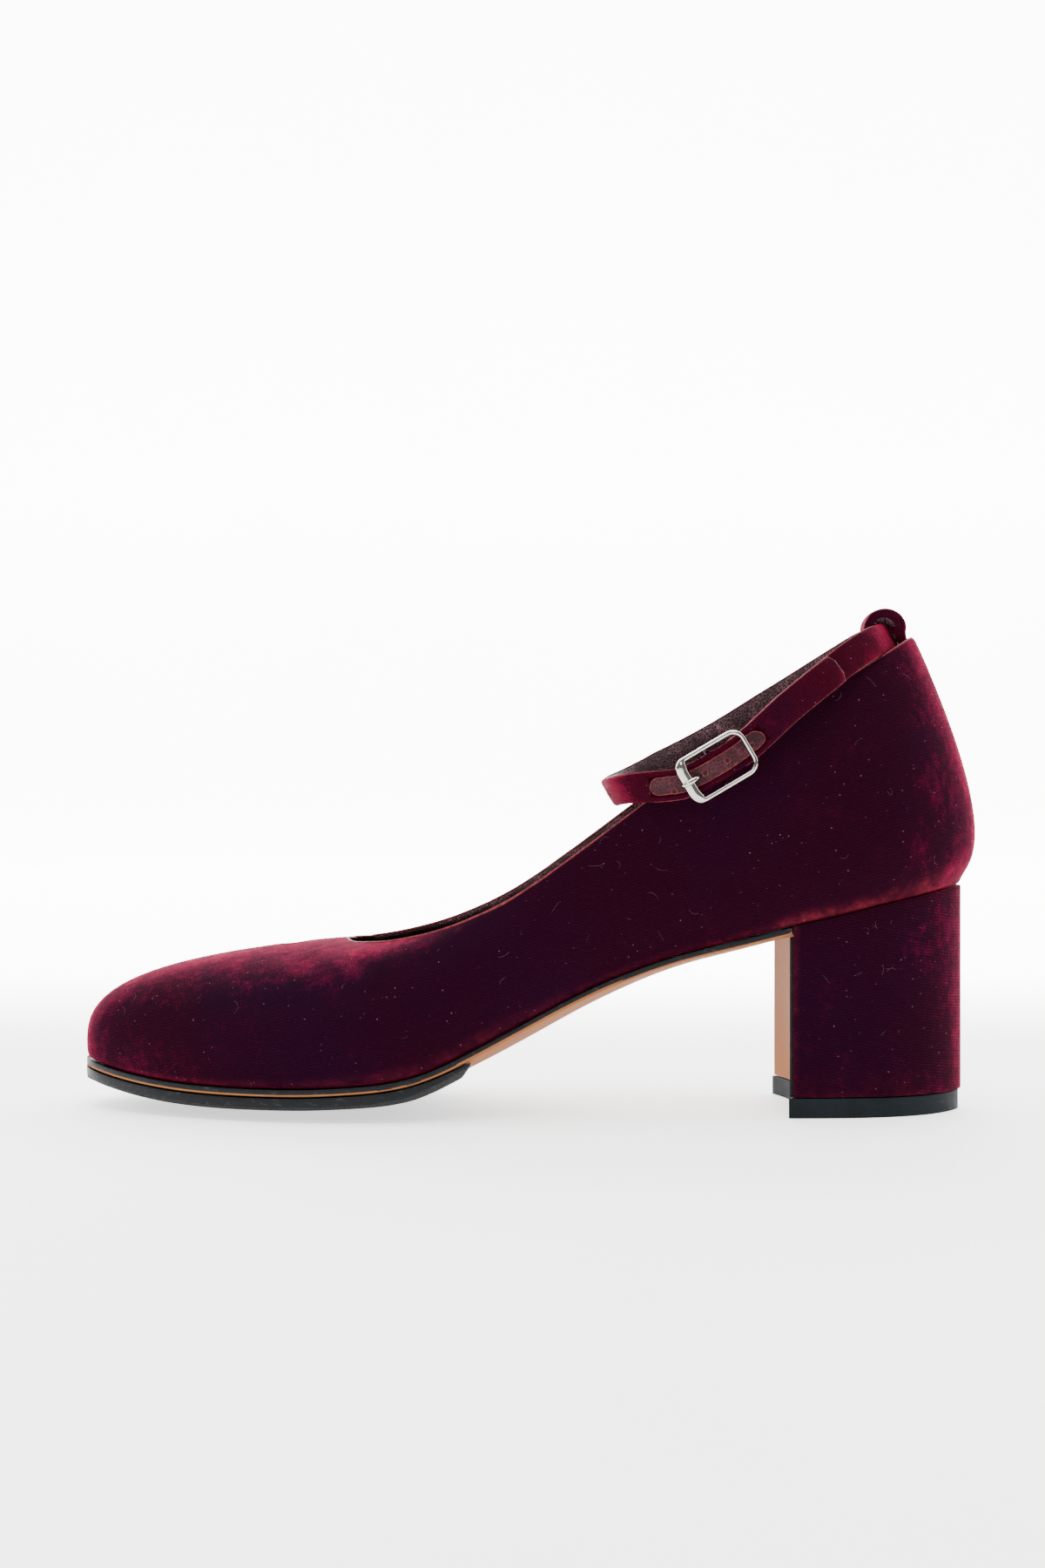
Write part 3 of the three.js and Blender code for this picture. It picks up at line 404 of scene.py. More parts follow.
def tan_leather():
    material, tree, shader = new_material("tan_sole_leather", 0.7, 0.08)
    clouds = noise(place_on(tree), 60, 4, 0.6)
    fibres = noise(place_on(tree, (0.12, 1, 1)), 900, 5, 0.65)
    pores = noise(place_on(tree), 3000, 2, 0.6)
    colour = blend(spread(clouds, 0.3, 0.7), TAN, LIGHT_TAN)
    colour = blend(spread(fibres, 0.55, 0.8, 0, 0.35), colour, (0.16, 0.055, 0.022, 1))
    colour = blend(spread(pores, 0.6, 0.72, 0, 0.3), colour, (0.15, 0.05, 0.02, 1))
    feed(shader, "Base Color", colour)
    feed(shader, "Roughness", spread(clouds, 0.3, 0.7, 0.6, 0.78))
    relief(shader, plus(fibres, pores), 0.25, 0.00015)
    return material


def edge_paint():
    coat = {"Coat Weight": 0.04, "Coat Roughness": 0.3}
    material, tree, shader = new_material("black_edge_paint", 0.5, 0.12, coat)
    streaks = noise(place_on(tree, (0.35, 1, 1)), 700, 5, 0.7)
    worn = spread(streaks, 0.56, 0.7)
    feed(shader, "Base Color", blend(worn, BLACK_PAINT, WORN_PAINT))
    feed(shader, "Roughness", spread(worn, 0, 1, 0.42, 0.68))
    relief(shader, streaks, 0.5, 0.0003)
    return material


def lozenge_rubber():
    material, tree, shader = new_material("half_sole_rubber", 0.75, 0.08)
    bands = []
    for turn in (40, -40):
        wave = {"Vector": place_on(tree, turn=(0, 0, math.radians(turn))), "Scale": 330}
        bands.append(add(tree, "TexWave", wave, bands_direction="X").outputs["Fac"])
    lozenges = times(*bands)
    scuffs = spread(noise(place_on(tree, (0.5, 1, 1)), 300, 5, 0.7), 0.5, 0.75)
    # The grooves are painted darker than the faces: painted shade in the recesses.
    ground = blend(spread(lozenges, 0.1, 0.6), NET_GROOVE_SHADE, NET_FACE)
    feed(shader, "Base Color", blend(times(scuffs, 0.5), ground, NET_SCUFF))
    relief(shader, lozenges, 0.8, 0.0004)
    return material


def tip_rubber():
    material, tree, shader = new_material("tip_rubber", 0.7, 0.1)
    clouds = noise(place_on(tree), 120, 5, 0.65)
    lines = noise(place_on(tree, (0.25, 0.25, 3)), 500, 3, 0.6)
    ground = blend(spread(clouds, 0.3, 0.7), TIP_DARK, TIP_LIGHT)
    scuffs = spread(lines, 0.62, 0.8, 0, 0.35)
    feed(shader, "Base Color", blend(scuffs, ground, TIP_SCUFF))
    feed(shader, "Roughness", spread(clouds, 0.3, 0.7, 0.6, 0.78))
    relief(shader, plus(lines, clouds), 0.25, 0.0002)
    return material


def nickel():
    plating = {"Base Color": (0.42, 0.4, 0.36, 1), "Metallic": 1.0}
    material, tree, shader = new_material("polished_nickel", 0.1, 0.5, plating)
    haze = noise(place_on(tree), 700, 4, 0.6)
    scratches = noise(place_on(tree, (0.2, 1, 3)), 2500, 2, 0.5)
    feed(shader, "Roughness", spread(haze, 0.3, 0.75, 0.05, 0.16))
    relief(shader, scratches, 0.06, 0.0001)
    return material


sole_tan = tan_leather()
edge_black = edge_paint()
half_rubber = lozenge_rubber()
heel_rubber = tip_rubber()
metal = nickel()
pile_fibre = plain_edge("pile_fibre", (0.13, 0.003, 0.02, 1), (0.04, 0.001, 0.01, 1), 0.9)
lint_fibre = plain_edge("lint_fibre", (0.16, 0.1, 0.125, 1), (0.07, 0.03, 0.045, 1), 0.9)
# A dark colour for the holes: painted shade.
hole_shade = plain_edge("hole_shade", (0.012, 0.006, 0.007, 1), (0.03, 0.012, 0.012, 1), 0.8)
glue_brown = plain_edge("glue_brown", (0.16, 0.07, 0.035, 1), (0.3, 0.15, 0.08, 1), 0.5)
print("materials:", len(bpy.data.materials))


# %% [markdown]
# The floor is matt white paper. It has a faint cloudiness and a few small smudges, as in the photo. Studios
# light the background apart from the subject until it is plain white, so the paper glows: faintly under the
# shoe, and ever more from just behind it on.

# %% Floor paper
GLOW = 8.5
FLOOR_GLOW = 1.2
GLOW_START = -0.12
GLOW_FULL = -0.5


def floor_paper():
    material, tree, shader = new_material("floor_paper", 0.75, 0.25)
    clouds = noise(place_on(tree), 6, 4, 0.6)
    smudges = spread(noise(place_on(tree, (1, 2.5, 1)), 60, 4, 0.7), 0.7, 0.85, 0, 0.2)
    paper = blend(spread(clouds, 0.3, 0.7), (0.83, 0.825, 0.815, 1), (0.87, 0.865, 0.86, 1))
    feed(shader, "Base Color", blend(smudges, paper, (0.6, 0.58, 0.56, 1)))
    back = add(tree, "SeparateXYZ", {"Vector": place_on(tree)}).outputs["Y"]
    shader.inputs["Emission Color"].default_value = (1, 1, 0.995, 1)
    feed(shader, "Emission Strength", spread(back, GLOW_FULL, GLOW_START, GLOW, FLOOR_GLOW))
    return material


backdrop.data.materials.append(floor_paper())
print("paper:", backdrop.data.materials[0].name)

# %% [markdown]
# Many pieces start as a copy of their CAD solid, which has the right form but flat facets. The facets are
# loose triangles, so the copy is merged and its triangles are joined to four-sided faces. Then Bevel
# softens its hard edges and Subdivision Surface rounds the rest. The copy replaces the CAD node, which
# stays for collision.

# %% Helpers for pieces
LOOSE = 1e-6
JOIN_ANGLE = math.radians(40)
JOIN_SKEW = math.radians(70)
SMOOTH_ANGLE = math.radians(50)
NO_BEVEL = (0, 0, 0)


def worked_copy(node, name):
    """A merged copy of a CAD node with four-sided faces."""
    piece = new_object(name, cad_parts[node].data.copy())
    piece.data.materials.clear()
    alone(piece)
    bpy.ops.object.mode_set(mode="EDIT")
    bpy.ops.mesh.select_all(action="SELECT")
    bpy.ops.mesh.remove_doubles(threshold=LOOSE)
    bpy.ops.mesh.tris_convert_to_quads(face_threshold=JOIN_ANGLE, shape_threshold=JOIN_SKEW)
    bpy.ops.object.mode_set(mode="OBJECT")
    bpy.ops.object.shade_smooth()
    return piece


def use(piece, kind, **settings):
    """Adds a modifier and applies it."""
    modifier = piece.modifiers.new(kind.title(), kind)
    for name, value in settings.items():
        setattr(modifier, name, value)
    alone(piece)
    bpy.ops.object.modifier_apply(modifier=modifier.name)


def soften(piece, width, segments, angle, levels):
    """Rounds the hard edges, then smooths the whole."""
    if width > 0:
        limit = math.radians(angle)
        use(piece, "BEVEL", width=width, segments=segments, limit_method="ANGLE", angle_limit=limit)
    if levels > 0:
        use(piece, "SUBSURF", levels=levels, render_levels=levels)
    alone(piece)
    bpy.ops.object.shade_smooth()


def finish_faces(piece, materials, choose):
    """Gives each face one of the materials: choose gets its middle and normal and returns 0 or 1."""
    for material in materials:
        piece.data.materials.append(material)
    numbers = [int(choose(face.center, face.normal)) for face in piece.data.polygons]
    piece.data.polygons.foreach_set("material_index", numbers)


def dressed(node, name, slot, bevel, levels, materials, choose=lambda c, n: 0, shift=None):
    """A softened copy with its materials, which stands for the node. bevel is its width, steps and angle."""
    piece = worked_copy(node, name)
    soften(piece, *bevel, levels)
    if shift:
        press(piece, shift)
    finish_faces(piece, materials, choose)
    keep_for(piece, slot, node)
    return piece


def press(piece, shift):
    """Moves each point along its normal: shift gets its place and normal and says how far."""
    surface = [(point.co.copy(), point.normal.copy()) for point in piece.data.vertices]
    for point, (place, normal) in zip(piece.data.vertices, surface):
        point.co = place + normal * shift(place, normal)


def keep_for(piece, slot, *nodes):
    """The piece rides on the shoe and stands for these CAD nodes."""
    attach(piece, "root")
    if nodes:
        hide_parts(*nodes)
    print(piece.name, "faces:", len(piece.data.polygons))


def write_attribute(piece, name, value_at):
    """Writes a number on each corner point of the mesh: value_at gets its place and normal."""
    values = [value_at(point.co, point.normal) for point in piece.data.vertices]
    attribute = piece.data.attributes.new(name, "FLOAT", "POINT")
    attribute.data.foreach_set("value", values)


def as_mesh(curve, material):
    """Turns a curve into a smooth mesh of one material."""
    alone(curve)
    bpy.ops.object.convert(target="MESH")
    piece = bpy.context.active_object
    piece.data.materials.clear()
    piece.data.materials.append(material)
    bpy.ops.object.shade_smooth()
    return piece


def line_along(piece, name, radius, keep, material):
    """A thin round line along the edges that keep picks: it gets the edge's middle and two faces."""
    shape = bmesh.new()
    shape.from_mesh(piece.data)
    others = []
    for edge in shape.edges:
        middle = (edge.verts[0].co + edge.verts[1].co) / 2
        if len(edge.link_faces) != 2 or not keep(middle, *edge.link_faces):
            others.append(edge)
    bmesh.ops.delete(shape, geom=others, context="EDGES")
    loose = [v for v in shape.verts if not v.link_edges]
    bmesh.ops.delete(shape, geom=loose, context="VERTS")
    mesh = bpy.data.meshes.new(name)
    shape.to_mesh(mesh)
    shape.free()
    alone(new_object(name, mesh))
    bpy.ops.object.convert(target="CURVE")
    line = bpy.context.active_object
    line.data.bevel_depth = radius
    line.data.bevel_resolution = 1
    return as_mesh(line, material)


def between(first, second):
    return first.material_index != second.material_index


# %% [markdown]
# The feather line is where the upper turns under the foot. Later cells need its height at any place along
# the shoe, to rub the velvet there. It is read off the CAD model: the highest points of the outsole and the
# heel block lie just below it.

# %% The feather line's height
def highest_along(nodes, width):
    """Pairs of place along the shoe and greatest height, one for each stretch of that width."""
    best = {}
    for node in nodes:
        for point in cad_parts[node].data.vertices:
            key = round(point.co.x / width)
            if key not in best or point.co.z > best[key][1]:
                best[key] = (point.co.x, point.co.z)
    return sorted(best.values())


FEATHER = highest_along(["outsole", "heel_block"], 4.5 * MM)


def read_table(rows, x):
    """The row at x of a table in the order of its first column, by straight lines between the rows."""
    x = min(max(x, rows[0][0]), rows[-1][0])
    k = max(i for i in range(len(rows) - 1) if rows[i][0] <= x)
    share = (x - rows[k][0]) / (rows[k + 1][0] - rows[k][0])
    return [a + (b - a) * share for a, b in zip(rows[k], rows[k + 1])]


def feather_height(x):
    return read_table(FEATHER, x)[1]


def step(value, low, high):
    """0 below low, 1 above high and smooth between."""
    share = min(1, max(0, (value - low) / (high - low)))
    return share * share * (3 - 2 * share)


print("feather line, heel and toe:", [round(feather_height(x), 4) for x in (-0.02, 0.2)])

# %% [markdown]
# The upper is one piece of velvet round the last, backed with leather and stiffened at the counter. A few
# soft creases are pressed in, where a foot bends the shoe and where the counter has been squeezed.
# A crease is a trough with a low ridge on each side. The seam down the centre back is a narrow groove.

# %% Upper
HEART = [Vector((0.004, 0, 0.085)), Vector((0.19, -0.002, 0.02))]
CREASES = [
    # side, start (x, z), end (x, z), depth and half width in mm
    (1, (0.030, 0.060), (0.062, 0.064), 0.35, 3.0),
    (1, (0.118, 0.030), (0.140, 0.043), 0.45, 3.5),
    (1, (0.010, 0.082), (0.038, 0.097), 0.35, 5.0),
    (1, (0.076, 0.047), (0.100, 0.056), 0.30, 4.5),
    (-1, (0.104, 0.030), (0.135, 0.040), 0.45, 3.5),
    (-1, (0.020, 0.075), (0.060, 0.080), 0.35, 5.0),
    (0, (0.150, 0.040), (0.156, 0.042), 0.40, 3.0),
]
SEAM_DEPTH = 0.35 * MM
SEAM_WIDTH = 0.7 * MM
SEAM_FOOT = 2 * MM


def heart_of(place):
    """The nearest place on a line down the middle of the hollow."""
    share = (place.x - HEART[0].x) / (HEART[1].x - HEART[0].x)
    return HEART[0].lerp(HEART[1], min(1, max(0, share)))


def looks_in(place, normal):
    return normal.dot(place - heart_of(place)) <= 0


def crease_depth(place):
    """How far the creases push a place of the upper in."""
    total = 0
    for side, start, end, depth, width in CREASES:
        if side * place.y < 0:
            continue
        a = Vector(start)
        along = Vector(end) - a
        spot = Vector((place.x, place.z)) - a
        share = min(1, max(0, spot.dot(along) / along.length_squared))
        reach = (spot - along * share).length / (width * MM)
        total += depth * MM * (1 - 0.9 * reach * reach) * math.exp(-reach * reach)
    return total


def upper_shift(place, normal):
    """The creases and the groove of the back seam, which are both pressed in."""
    if looks_in(place, normal):
        return 0
    push = crease_depth(place)
    if place.x < 0 and place.z > feather_height(place.x) + SEAM_FOOT:
        push += SEAM_DEPTH * math.exp(-((place.y / SEAM_WIDTH) ** 2))
    return -push


RUBBED = [
    # x along the shoe, strength and height of the rubbed band above the feather line in mm
    (-0.030, 0.8, 9),
    (-0.015, 0.8, 7),
    (0.000, 0.8, 4.4),
    (0.012, 0.85, 4.4),
    (0.022, 0.75, 4.6),
    (0.040, 0.22, 2.4),
    (0.070, 0.2, 2.8),
    (0.100, 0.3, 5.5),
    (0.125, 0.26, 5.0),
    (0.150, 0.22, 3.0),
    (0.215, 0.2, 2.4),
]


def rub_at(place, normal):
    """How worn the velvet is just above the feather line."""
    strength, height = read_table(RUBBED, place.x)[1:]
    above = (place.z - feather_height(place.x)) / MM
    return strength * (1 - step(above, 0.1 * height, height))


cloths = [upper_velvet, lining]
velvet_upper = dressed("upper", "velvet_upper", "velvet", NO_BEVEL, 2, cloths, looks_in, upper_shift)
write_attribute(velvet_upper, "rub", rub_at)

# %% [markdown]
# Round the opening the velvet is folded over and the lining's cut edge shows as a thin painted line. It
# lies exactly where the faces change from velvet to lining, so it is taken from those edges of the upper.

# %% Painted line round the opening
COLLAR_LINE = 0.42 * MM
OPENING_FOOT = 22 * MM


def at_collar(middle, first, second):
    return between(first, second) and middle.z > feather_height(middle.x) + OPENING_FOOT


keep_for(line_along(velvet_upper, "collar_line", COLLAR_LINE, at_collar, pink_edge), "sock_leather")

# %% [markdown]
# Inside lies the sock on its board, a smooth leather insole. Only its bevel and a light smoothing are
# needed.

# %% Insole
dressed("insole", "leather_insole", "sock_leather", (0.5 * MM, 2, 50), 1, [lining])


# %% [markdown]
# The outsole's underside is bare tan leather, and its edge is painted black from the breast to the toe. A
# face is painted where it lies ahead of the breast, within a little over a millimetre below the feather
# line, and doesn't look down. On the half sole the steep faces are painted.

# %% Outsole and half sole
PAINT_WIDTH = 1.35 * MM
LOOKS_DOWN = -0.62
STEEP_BELOW = 0.5
BREAST_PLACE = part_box("heel_block")[1].x - 2 * MM
SOLE_BEVEL = (0.3 * MM, 2, 45)


def outsole_paint(place, normal):
    at_edge = feather_height(place.x) - place.z < PAINT_WIDTH
    return normal.z > LOOKS_DOWN and place.x > BREAST_PLACE and at_edge


def half_sole_paint(place, normal):
    return abs(normal.z) < STEEP_BELOW


leathers = [sole_tan, edge_black]
rubbers = [half_rubber, edge_black]
outsole = dressed("outsole", "leather_outsole", "sole_leather", SOLE_BEVEL, 2, leathers, outsole_paint)
half_sole = dressed("half_sole", "rubber_half_sole", "sole_rubber", SOLE_BEVEL, 2, rubbers, half_sole_paint)

# %% [markdown]
# Glue has squeezed out behind the half sole and darkened. It is a thin uneven thread laid on the leather:
# points across the sole are dropped onto it with a ray, and a curve with a round bevel runs through them.

# %% Glue behind the half sole
GLUE_POINTS = 46
GLUE_RADIUS = 0.45 * MM
GLUE_START = -30 * MM
GLUE_SPAN = 58 * MM
GLUE_BEHIND = 0.35 * MM
RIM_SEARCH = (0.06, 0.0165)
RIM_PLACE = 0.109


def tree_of(piece):
    shape = bmesh.new()
    shape.from_mesh(piece.data)
    tree = BVHTree.FromBMesh(shape)
    shape.free()
    return tree


def tube(name, runs, radius, material, closed=False, fullness=1):
    """Round threads through lists of points, each point with a share of the radius."""
    data = bpy.data.curves.new(name, "CURVE")
    data.dimensions = "3D"
    data.bevel_depth = radius
    data.bevel_resolution = fullness
    data.use_fill_caps = True
    for run in runs:
        spline = data.splines.new("POLY")
        spline.points.add(len(run) - 1)
        spline.use_cyclic_u = closed
        for point, (place, share) in zip(spline.points, run):
            point.co = (*place, 1)
            point.radius = share
    return as_mesh(new_object(name, data), material)


def make_glue():
    """A thread along the half sole's rear rim, which rays from behind find at one height."""
    chance = random.Random(11)
    under = tree_of(outsole)
    rim = tree_of(half_sole)
    run = []
    for k in range(GLUE_POINTS):
        across = GLUE_START + GLUE_SPAN * k / (GLUE_POINTS - 1)
        hit = rim.ray_cast(Vector((RIM_SEARCH[0], across, RIM_SEARCH[1])), Vector((1, 0, 0)))[0]
        x = (hit.x if hit else RIM_PLACE) - GLUE_BEHIND
        spot = under.ray_cast(Vector((x, across, -0.01)), Vector((0, 0, 1)))[0]
        if spot:
            run.append((spot, chance.uniform(0.5, 1.3)))
    return tube("glue_line", [run], GLUE_RADIUS, glue_brown)


keep_for(make_glue(), "sole_rubber")

# %% [markdown]
# The heel block is covered in the same velvet, drawn tight, so only its corners are rounded. The hollow
# breast is faced with sole leather whose edges are painted black, and a rubber tip closes the bottom.

# %% Heel
SIDEWAYS = 0.8
velvet_heel = dressed("heel_block", "velvet_heel", "heel_velvet", (0.7 * MM, 3, 45), 1, [heel_velvet])
BREAST_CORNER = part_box("heel_block")[1].x
BLOCK_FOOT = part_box("heel_block")[0].z


def heel_rub(place, normal):
    """Worn along the breast corners and just above the tip."""
    corner = step(place.x, BREAST_CORNER - 1.4 * MM, BREAST_CORNER - 0.3 * MM)
    foot = 1 - step(place.z, BLOCK_FOOT + 0.3 * MM, BLOCK_FOOT + 2 * MM)
    return max(0.28 * corner, 0.15 * foot)


write_attribute(velvet_heel, "rub", heel_rub)


def breast_paint(place, normal):
    return abs(normal.y) > SIDEWAYS


BREAST_BEVEL = (0.15 * MM, 2, 45)
dressed("breast_cover", "leather_breast", "sole_leather", BREAST_BEVEL, 1, leathers, breast_paint)

dressed("top_piece", "rubber_tip", "tip_rubber", (0.25 * MM, 2, 45), 1, [heel_rubber])

# %% [markdown]
# The strap is velvet outside and crackled leather inside. Its copy keeps the CAD form, shaded smooth up to
# a limit angle. Which side a face is on follows from its normal against the way out from the ankle.

# %% Ankle strap
STRAP_LEAN = 0.53
STRAP_UP = Vector((math.sin(STRAP_LEAN), 0, math.cos(STRAP_LEAN)))
STRAP_AHEAD = Vector((math.cos(STRAP_LEAN), 0, -math.sin(STRAP_LEAN)))
strap_low, strap_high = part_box("ankle_strap")
ANKLE = Vector(((strap_low.x + strap_high.x) / 2, 0, (strap_low.z + strap_high.z) / 2))
STRAP_LINE = 0.2 * MM
OVAL = 1.25
LOOKS_IN = -0.35
STEEP = 0.6
BUCKLE_REACH = 7.5 * MM
buckle_low, buckle_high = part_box("buckle_frame")
BUCKLE_MIDDLE = (buckle_low + buckle_high) / 2


def way_out(place):
    """Level with the strap, away from the ankle's middle."""
    out = place - ANKLE
    out.y *= OVAL
    return (out - STRAP_UP * out.dot(STRAP_UP)).normalized()


def strap_side(place, normal):
    """True for the lining and false for the velvet."""
    return normal.dot(way_out(place)) < LOOKS_IN


velvet_strap = worked_copy("ankle_strap", "velvet_strap")
alone(velvet_strap)
bpy.ops.object.shade_smooth_by_angle(angle=SMOOTH_ANGLE)
finish_faces(velvet_strap, [strap_velvet, lining], strap_side)
keep_for(velvet_strap, "strap_velvet", "ankle_strap")


def strap_line_here(middle, first, second):
    clear_of_buckle = (middle - BUCKLE_MIDDLE).length > BUCKLE_REACH
    at_rim = max(abs(f.normal.dot(STRAP_UP)) for f in (first, second)) > STEEP
    return between(first, second) and clear_of_buckle and at_rim


keep_for(line_along(velvet_strap, "strap_line", STRAP_LINE, strap_line_here, pink_edge), "sock_leather")

# The cut end of the strap shows the raw edge of cloth and leather as a pale line.
TAIL_LINE = 0.13 * MM
TAIL_BACK = 0.006
TAIL_FRONT = 0.018


def at_tail_end(middle, first, second):
    """True where just one of the two faces looks backwards along the strap."""
    out = way_out(middle)
    pair = (first.normal, second.normal)
    ends = [n.dot(STRAP_AHEAD) < -STEEP and abs(n.dot(out)) < STEEP for n in pair]
    return TAIL_BACK < middle.x < TAIL_FRONT and middle.y > 0 and ends[0] != ends[1]


keep_for(line_along(velvet_strap, "tail_edge", TAIL_LINE, at_tail_end, raw_edge), "strap_velvet")

# %% [markdown]
# The back loop is a short band of the same make, sewn into the counter. Two levels of subdivision make it
# round. Then its pile is pushed outwards, and inside the arch the doubled tape is thickened until it nearly
# touches the strap.

# %% Back loop
PILE = 0.4 * MM
LOOP_FULLNESS = 3.2 * MM
LOOP_CLEARANCE = 0.2 * MM
ARCH_START = -3 * MM
ARCH_FULL = 1 * MM
loop_low, loop_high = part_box("back_loop")
LOOP_HEART = (loop_low + loop_high) / 2


def loop_side(place, normal):
    """True for the inside of the arch."""
    out = Vector((place.x - LOOP_HEART.x, 0, place.z - LOOP_HEART.z)).normalized()
    return normal.dot(out) < LOOKS_IN


strap_tree = tree_of(velvet_strap)


def loop_shift(place, normal):
    """The pile's height outside, and inside the arch as much of the fullness as the strap leaves free."""
    if not loop_side(place, normal):
        return PILE
    free = strap_tree.ray_cast(place, normal)[3] or strap_tree.find_nearest(place)[3]
    high = step(place.z, LOOP_HEART.z + ARCH_START, LOOP_HEART.z + ARCH_FULL)
    return high * max(0, min(LOOP_FULLNESS, free - LOOP_CLEARANCE))


tapes = [strap_velvet, lining]
velvet_loop = dressed("back_loop", "velvet_loop", "strap_velvet", NO_BEVEL, 2, tapes, loop_side, loop_shift)

# %% [markdown]
# The strip for the holes is crackled leather with round ends and a pink cut edge, let into the velvet. Rays
# sent at the CAD strip find its middle line and its face. A ribbon of four-sided faces is laid along that
# line, a hair above the face, narrowed at both ends and given a thickness.

# %% Hole strip
STRIP_HALF = 2.2 * MM
STRIP_THICK = 0.5 * MM
STRIP_LIFT = 0.06 * MM
STRIP_ACROSS = 8
STRIP_STEPS = 30
END_STEPS = 8
END_SPAN = 3 * MM
STRIP_LINE = 0.14 * MM
FACES_OUT = 0.75
FULL_SHARE = 1.75
# Where the rays look for the strip, in millimetres along and up the strap
LOOK_FROM = -24.5
LOOK_SPAN = 31.5
LOOK_STEPS = 60
LOOK_LOW = 96
LOOK_RISE = 0.25
LOOK_ROWS = 56
CREEP = 0.1
OUT = Vector((0, 1, 0))
strip_face = tree_of(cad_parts["hole_strip"])


def drop(place):
    """The CAD strip's face at a place, met from outside."""
    return strip_face.ray_cast(place + OUT * 0.05, -OUT)[0]


def strip_middles():
    """Places down the middle of the strip, from its rear end to its front end."""
    middles = []
    for k in range(LOOK_STEPS + 1):
        along = STRAP_AHEAD * (LOOK_FROM + LOOK_SPAN * k / LOOK_STEPS) * MM
        hits = [drop(along + STRAP_UP * (LOOK_LOW + LOOK_RISE * j) * MM) for j in range(LOOK_ROWS)]
        hits = [hit for hit in hits if hit]
        if hits and (hits[-1] - hits[0]).length > FULL_SHARE * STRIP_HALF:
            middles.append((hits[0] + hits[-1]) / 2)
    for _ in range(2):
        pull = (middles[0] - middles[3]).normalized() * CREEP * MM
        while drop(middles[0] + pull):
            middles.insert(0, middles[0] + pull)
        middles.reverse()
    return middles


def spot_along(places, length):
    """The place at a length along a broken line, and the line's direction there."""
    for a, b in zip(places, places[1:]):
        piece = (b - a).length
        if length <= piece:
            break
        length -= piece
    return a.lerp(b, min(1, length / piece)), (b - a).normalized()


def make_strip():
    """A thin ribbon with round ends, laid on the CAD strip's face. Returns it and its outline."""
    middles = strip_middles()
    total = sum((b - a).length for a, b in zip(middles, middles[1:]))
    end = [STRIP_HALF * (1 - math.cos(k / END_STEPS * math.pi / 2)) for k in range(END_STEPS + 1)]
    straight = [STRIP_HALF + (total - 2 * STRIP_HALF) * k / STRIP_STEPS for k in range(1, STRIP_STEPS)]
    shape = bmesh.new()
    rows = []
    for length in [*end, *straight, *[total - e for e in reversed(end)]]:
        centre = spot_along(middles, length)[0]
        from_end = min(length, total - length, STRIP_HALF)
        half = STRIP_HALF * math.sqrt(max(0.01, 1 - (1 - from_end / STRIP_HALF) ** 2))
        heading = spot_along(middles, min(max(length, END_SPAN), total - END_SPAN))[1]
        across = OUT.cross(heading).normalized()
        row = []
        for j in range(STRIP_ACROSS + 1):
            place = centre + across * half * (2 * j / STRIP_ACROSS - 1)
            face = drop(place) or Vector((place.x, centre.y, place.z))
            row.append(shape.verts.new(face + OUT * STRIP_LIFT))
        rows.append(row)
    for before, after in zip(rows, rows[1:]):
        for j in range(STRIP_ACROSS):
            shape.faces.new((before[j], before[j + 1], after[j + 1], after[j]))
    outline = [row[0].co.copy() for row in rows] + [row[-1].co.copy() for row in reversed(rows)]
    bmesh.ops.recalc_face_normals(shape, faces=shape.faces)
    mesh = bpy.data.meshes.new("leather_strip")
    shape.to_mesh(mesh)
    shape.free()
    if mesh.polygons[len(mesh.polygons) // 2].normal.y < 0:
        mesh.flip_normals()
    piece = new_object("leather_strip", mesh)
    use(piece, "SOLIDIFY", thickness=STRIP_THICK, offset=-1)
    alone(piece)
    bpy.ops.object.shade_smooth_by_angle(angle=SMOOTH_ANGLE)
    return piece, outline


strip, strip_outline = make_strip()
finish_faces(strip, [strip_leather, pink_edge], lambda c, n: abs(n.dot(way_out(c))) <= FACES_OUT)
keep_for(strip, "strip_leather", "hole_strip")
strip_run = [(place, 1) for place in strip_outline]
keep_for(tube("strip_line", [strip_run], STRIP_LINE, pink_edge, closed=True), "strip_leather")

# %% [markdown]
# The buckle is cast and polished: the end bar that the prong rests on is broad, and the other three sides
# are thinner bars. It is a thread bent to a rounded rectangle and pressed flatter where it is broad. The
# three directions it is built in are measured on the CAD node: its long axis, its short axis and the way
# out.

# %% Buckle
FRAME_LENGTH = 20 * MM
FRAME_WIDTH = 12.8 * MM
END_BAR = 3.0 * MM
SIDE_BAR = 1.2 * MM
CORNER = 3.1 * MM
CORNER_STEPS = 8
FRAME_DEPTH = 0.75 * MM
BAR_HEIGHT = 0.8 * MM
BAR_RADIUS = 0.62 * MM
PRONG_RADIUS = 0.66 * MM
EYE_RADIUS = 1.35 * MM
EYE_STEPS = 16
HALF_LENGTH = FRAME_LENGTH / 2 - SIDE_BAR / 2
HALF_WIDTH = FRAME_WIDTH / 2 - SIDE_BAR / 2
SIDE_FLATNESS = 0.1
END_FLATNESS = 0.45
PRONG = [
    # along in mm, share of the bar's level, share of the ring's top, lift in mm and share of the radius
    (0.9, 1, 0, 1.0, 1.15),
    (3.2, 1, 0, 1.15, 1.05),
    (5.2, 0.35, 0.6, 0, 1.0),
    (6.8, 0, 0.95, 0, 1.05),
    (8.3, 0, 1.04, 0, 1.15),
    (9.4, 0, 1, 0, 1.1),
    (10.1, 0, 0.85, 0, 0.85),
    (10.35, 0, 0.7, 0, 0.35),
]


def long_axis(points, middle):
    """The direction in which the points reach furthest, found by repeated projection."""
    axis = Vector((0.8, -0.1, -0.5))
    for _ in range(40):
        total = Vector((0, 0, 0))
        for point in points:
            total += (point - middle) * (point - middle).dot(axis)
        axis = total.normalized()
    return axis


